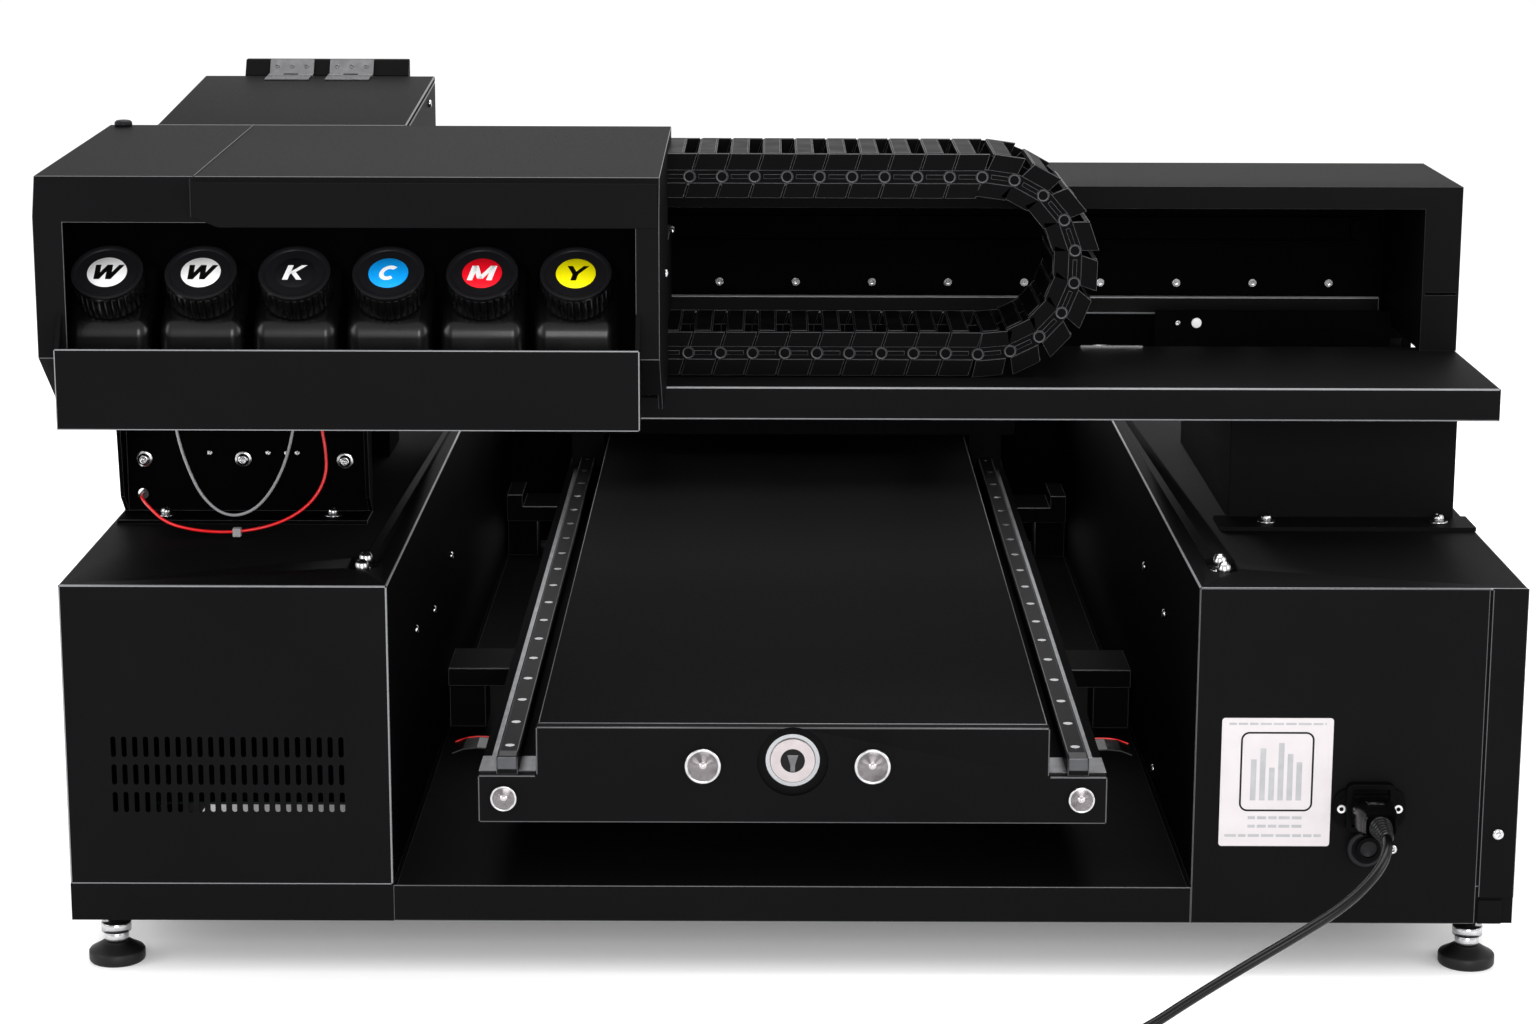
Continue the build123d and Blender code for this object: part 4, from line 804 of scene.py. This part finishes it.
plateSet = dict(left=300.0, right=378.0, bottom=97.5, top=191.0, frameLeft=313.5, frameRight=365.0, frameBottom=123.0,
                frameTop=181.0)
panelSlab("ratingPlate", plateSet["left"], plateSet["right"], plateSet["bottom"], plateSet["top"], 2.2, -0.05, 0.5,
          "plate")
panelSlab("ratingBorder", plateSet["frameLeft"], plateSet["frameRight"], plateSet["frameBottom"], plateSet["frameTop"],
          6.0, -0.5, 0.12, "ink", cut=1.35)
bars = []
for z, first, last, high in ((186.0, 305, 373, 1.6), (117.2, 320, 358, 2.2), (111.0, 320, 358, 2.2),
                             (104.2, 304, 372, 2.0)):
    x = first
    while x < last:
        reach = min(x + 5.2 + (x * 7 % 5), last)
        outline = [(x, z), (reach, z), (reach, z + high), (x, z + high)]
        bars.append(slabMesh("bar", outline, lambda u, v, w: place(u, -0.5 - w, v), 0.1))
        x = reach + 1.4
for i, height in enumerate((30, 38, 24, 42, 34, 28)):
    x = 321 + i * 6.4
    outline = [(x, 131), (x + 4.0, 131), (x + 4.0, 131 + height), (x, 131 + height)]
    bars.append(slabMesh("bar", outline, lambda u, v, w: place(u, -0.5 - w, v), 0.1))
showMesh("ratingLines", joinMeshes("ratingLines", bars), "frame", "greyWire", smooth=False)

flange = [(-25.5, 0), (-24, 4), (-18, 9), (-14, 14), (14, 14), (18, 9), (24, 4), (25.5, 0), (24, -4), (18, -9),
          (14, -14), (-14, -14), (-18, -9), (-24, -4)]
bezelRing = panelSlab("inletBezel", 388, 422, 110, 145, 5.0, 0.0, 8.0, "chain", cut=4.2)
bevelled(bezelRing, 0.8)
ears = slabMesh("inletEars", flange, lambda u, v, w: place(405 + u, -3.05 - w, 126 + v), 0.9)
bevelled(showMesh("inletEars", ears, "frame", "chain", smooth=False), 0.5)
socketRing = [(0, 13.0), (2.4, 13.0), (3.2, 12.2), (3.2, 10.4), (0.6, 10.0), (0.6, 0.5)]
showMesh("dataRing", latheMesh("dataRing", socketRing, place(403, -3.9, 97), (0, -1, 0)), "frame", "cap")


# ---- bed end plate: dished knobs, screw bearing ring, rail ends

def dished(x, z, radius, shade):
    # rim and boss are bright, and the dish between them is darker where it sinks, a painted shade
    if shade:
        profile = [(2.3, radius * 0.86), (0.8, radius * 0.64), (0.5, radius * 0.5), (0.9, radius * 0.40),
                   (0.9, radius * 0.05)]
    else:
        profile = [(0, radius * 0.96), (1.4, radius), (2.4, radius * 0.97), (2.8, radius * 0.9), (2.3, radius * 0.83),
                   (0.2, radius * 0.6)]
    return latheMesh("dish", profile, place(x, -0.1, z), (0, -1, 0), sides=56)


knobPlaces = [(-63, 155, 13), (56, 155, 13), (-203, 131, 9.5), (203, 131, 9.5)]
showMesh("plateKnobs", joinMeshes("knobs", [dished(*where, False) for where in knobPlaces]), "frame", "zinc")
showMesh("plateKnobDishes", joinMeshes("dishes", [dished(*where, True) for where in knobPlaces]), "frame", "zincShade")
bosses = [latheMesh("boss", [(0.9, r * 0.42), (1.5, r * 0.4), (1.7, r * 0.34), (1.7, 0.2)], place(x, -0.1, z - r * 0.12),
                    (0, -1, 0), sides=36) for x, z, r in knobPlaces]
showMesh("plateKnobBosses", joinMeshes("bosses", bosses), "frame", "ringSteel", smooth=False)
screwZ = 158.0
ringMesh = latheMesh("ring", [(0, 15.2), (1.2, 16.0), (1.6, 15.6), (1.6, 0.3)], place(0, 4.0, screwZ), (0, -1, 0),
                     sides=64)
showMesh("bearingRing", ringMesh, "frame", "ringSteel", smooth=False)
# a flat black disc paints the shade in the hollow of the screw end, with the tongue across it
hollow = latheMesh("hollow", [(0, 8.6), (0.15, 8.5), (0.15, 0.3)], place(0, 2.35, screwZ), (0, -1, 0), sides=40)
showMesh("bearingHollow", hollow, "frame", "ink", smooth=False)
lever = slabMesh("lever", [(-4.0, 162.4), (4.0, 162.4), (1.7, 155), (1.7, 150.2), (-1.7, 150.2), (-1.7, 155)],
                 lambda u, v, w: place(u, 2.1 - w, v), 0.5)
bevelled(showMesh("bearingLever", lever, "frame", "hinge", smooth=False), 0.2)
screwEnd = [(12, 0.4), (12, 5.2), (0.8, 5.8), (0.2, 6.6), (0, 7.6), (0.5, 8.0), (1196, 8.0), (1198, 7.0)]
shaft = showMesh("screwShaft", latheMesh("shaft", screwEnd, place(0, 5.0, screwZ), (0, 1, 0), sides=40), "lead_screw",
                 "ground")
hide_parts("lead_screw")


def sideBox(name, side, across, depths, heights):
    # a box on one side of the bed, across from its inner to its outer distance off the middle
    low, high = sorted(side * distance for distance in across)
    return boxMesh(name, (low, depths[0], heights[0]), (high, depths[1], heights[1]))


for side, name in ((-1, "left"), (1, "right")):
    strip = sideBox(name + "Strip", side, (208.4, 214.5), (46, 1183), (147.5, 148.2))
    land = sideBox(name + "Land", side, (180.5, 221), (10.2, 46), (147.5, 148.0))
    ledge = showMesh(name + "Ledge", joinMeshes(name, [strip, land]), "frame", "satin", smooth=False)
    cap = sideBox(name + "Cap", side, (193.3, 207.7), (0.8, 16), (151.0, 161.2))
    bevelled(showMesh(name + "RailCap", cap, "frame", "railCap", smooth=False), 1.4, 3)
    # a dark tab at the far end of the rail, painted shade, closes the gap beside it against the light
    shadeTab = sideBox(name + "ShadeTab", side, (204, 238), (1184.5, 1186), (120, 172))
    bevelled(showMesh(name + "RailShadeTab", shadeTab, "frame", "inner", smooth=False), 0.4)
    # a short flat ribbon end, arched over the gap beside the bed, with one red edge
    points = [(side * 219, 144.6), (side * 228, 145.2), (side * 238, 144.2), (side * 246, 141.0)]
    band = [place(x, depth, z + lift) for lift in (0, 0.9) for depth in (74, 102) for x, z in points]
    n = len(points)
    faces = [(i, i + 1, n + i + 1, n + i) for i in range(n - 1)]
    faces += [(2 * n + i, 3 * n + i, 3 * n + i + 1, 2 * n + i + 1) for i in range(n - 1)]
    faces += [(i, 2 * n + i, 2 * n + i + 1, i + 1) for i in range(n - 1)]
    faces += [(n + i, n + i + 1, 3 * n + i + 1, 3 * n + i) for i in range(n - 1)]
    faces += [(0, n, 3 * n, 2 * n), (n - 1, 3 * n - 1, 4 * n - 1, 2 * n - 1)]
    showMesh(name + "Ribbon", bodyFromPoints(name, band, faces), "frame", "jacket", smooth=False)
    red = splineCurve(name + "RibbonEdge", [place(x, 102, z + 0.9) for x, z in points], 0.7)
    red.data.materials.append(finish["redWire"])
    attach(red, "frame")
print("service face and bed end made")


# ---- feet: domed rubber pad with a zinc stem and lock nut

footPlaces = {"near_left": (-485, 30), "near_right": (485, 30), "far_left": (-485, 1090), "far_right": (485, 1090)}
for name, (x, depth) in footPlaces.items():
    pad = [(0, 18.8), (1.0, 19.7), (1.8, 20), (7.6, 20), (8.8, 19.2), (12.0, 13.4), (13.8, 10.8), (14.6, 8)]
    piece = showMesh("pad_" + name, latheMesh("pad", pad, place(x, depth, 0), (0, 0, 1), sides=56), "foot_" + name,
                     "rubber")
    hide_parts("foot_" + name)
    nut = [(14.4, 7.6), (16, 8.6), (21, 8.8), (22, 8.0), (22.2, 10.6), (28.6, 10.8), (29.2, 10.2), (29.4, 6.2),
           (56, 6.0)]
    stem = latheMesh("stem", nut, place(x, depth, 0), (0, 0, 1))
    showMesh("stem_" + name, stem, "foot_" + name, "zinc")
print("feet made")


# ---- hood brow and seam, wall details, garage

brow = [(-403, 567), (-92, 567), (-92, 537), (-386, 537), (-403, 544)]
mesh = slabMesh("brow", brow, lambda u, v, w: place(u, -28 - w, v), 1.0)
bevelled(showMesh("hoodBrow", mesh, "frame", "panel", smooth=False), 0.5)
rib = slabMesh("seam", [(-18, 570.1), (249, 577.1), (249, 576.5), (-18, 569.5)],
               lambda u, v, w: place(-403.4 + w, u, v + 0.12), 0.8)
front = slabMesh("seam", [(-404.2, 569.4), (-403.2, 569.4), (-403.2, 544), (-404.2, 544)],
                 lambda u, v, w: place(u, -28.2 - w, v), 0.5)
showMesh("hoodSeam", joinMeshes("seams", [rib, front]), "frame", "ink", smooth=False)
# a thin light lip along the seam, a painted highlight on the fold
lip = slabMesh("lip", [(-18, 570.5), (249, 577.5), (249, 576.9), (-18, 569.9)],
               lambda u, v, w: place(-402.6 + w, u, v + 0.12), 0.3)
showMesh("hoodSeamLip", lip, "frame", "softPaintedHighlight", smooth=False)
knob = [(0, 6), (1.5, 6.6), (3.5, 6.4), (4.6, 5), (5, 2.4), (5, 0.4)]
showMesh("hoodKnob", latheMesh("knob", knob, place(-499, 243, 576.5), (0, 0, 1)), "frame", "cap")
shelfStrip = boxMesh("strip", (223, 297, 403.0), (271, 301, 404.2))
showMesh("shelfStrip", shelfStrip, "frame", "zinc", smooth=False)
dot = latheMesh("dot", [(0, 4.2), (0.8, 4.0), (1.1, 3.2), (1.1, 0.3)], place(323, 384.5, 408), (0, -1, 0), sides=32)
showMesh("wallDot", dot, "frame", "white")
hardware("bracketScrew", [((308, 384.5, 408), (0, -1, 0), 2.6, 1.6, 0)])
# the bracket takes the dark inner coat, a painted shade
bracket = boxMesh("bracket", (290, 385, 386), (478, 387, 418))
showMesh("wallBracket", bracket, "frame", "inner", smooth=False)
clip = boxMesh("clip", (-411, 142.2, 285.8), (-405, 148.2, 292.2))
bevelled(showMesh("wireClip", clip, "frame", "greyWire", smooth=False), 0.6)
tail = slabMesh("tail", [(510, 560), (510, 592), (518, 604), (526, 604), (526, 560)],
                lambda u, v, w: place(-449 + w, u, v), 134)
bevelled(showMesh("garageTail", tail, "frame", "panel", smooth=False), 0.9)
leaves, flaps = [], []
hingeHalf, screwStep = 18, 12
for x in (-410.5, -361.5):
    flap = [(478, 590.5), (498.5, 592.1), (498.5, 593.2), (478, 591.7)]
    flaps.append(slabMesh("flap", flap, lambda u, v, w: place(x - hingeHalf + w, u, v), 2 * hingeHalf))
    leaf = [(506.5, 589), (509.5, 592.8), (516.6, 603.6), (515.8, 604.4), (508.2, 593.6), (505.6, 590)]
    leaves.append(slabMesh("leaf", leaf, lambda u, v, w: place(x - hingeHalf + w, u, v), 2 * hingeHalf))
    for k in (-screwStep, 0, screwStep):
        flaps += screwMesh((x + k, 486, 591.9), (0, -0.08, 1), 2.2, 1.0)
        leaves += screwMesh((x + k, 512.2, 598.6), (0, -0.83, 0.55), 2.0, 1.0)
bevelled(showMesh("hingeFlaps", joinMeshes("flaps", flaps), "garage_lid", "hinge", smooth=False), 0.3)
bevelled(showMesh("hingeLeaves", joinMeshes("leaves", leaves), "frame", "hinge", smooth=False), 0.3)
print("hood, wall and garage details made")
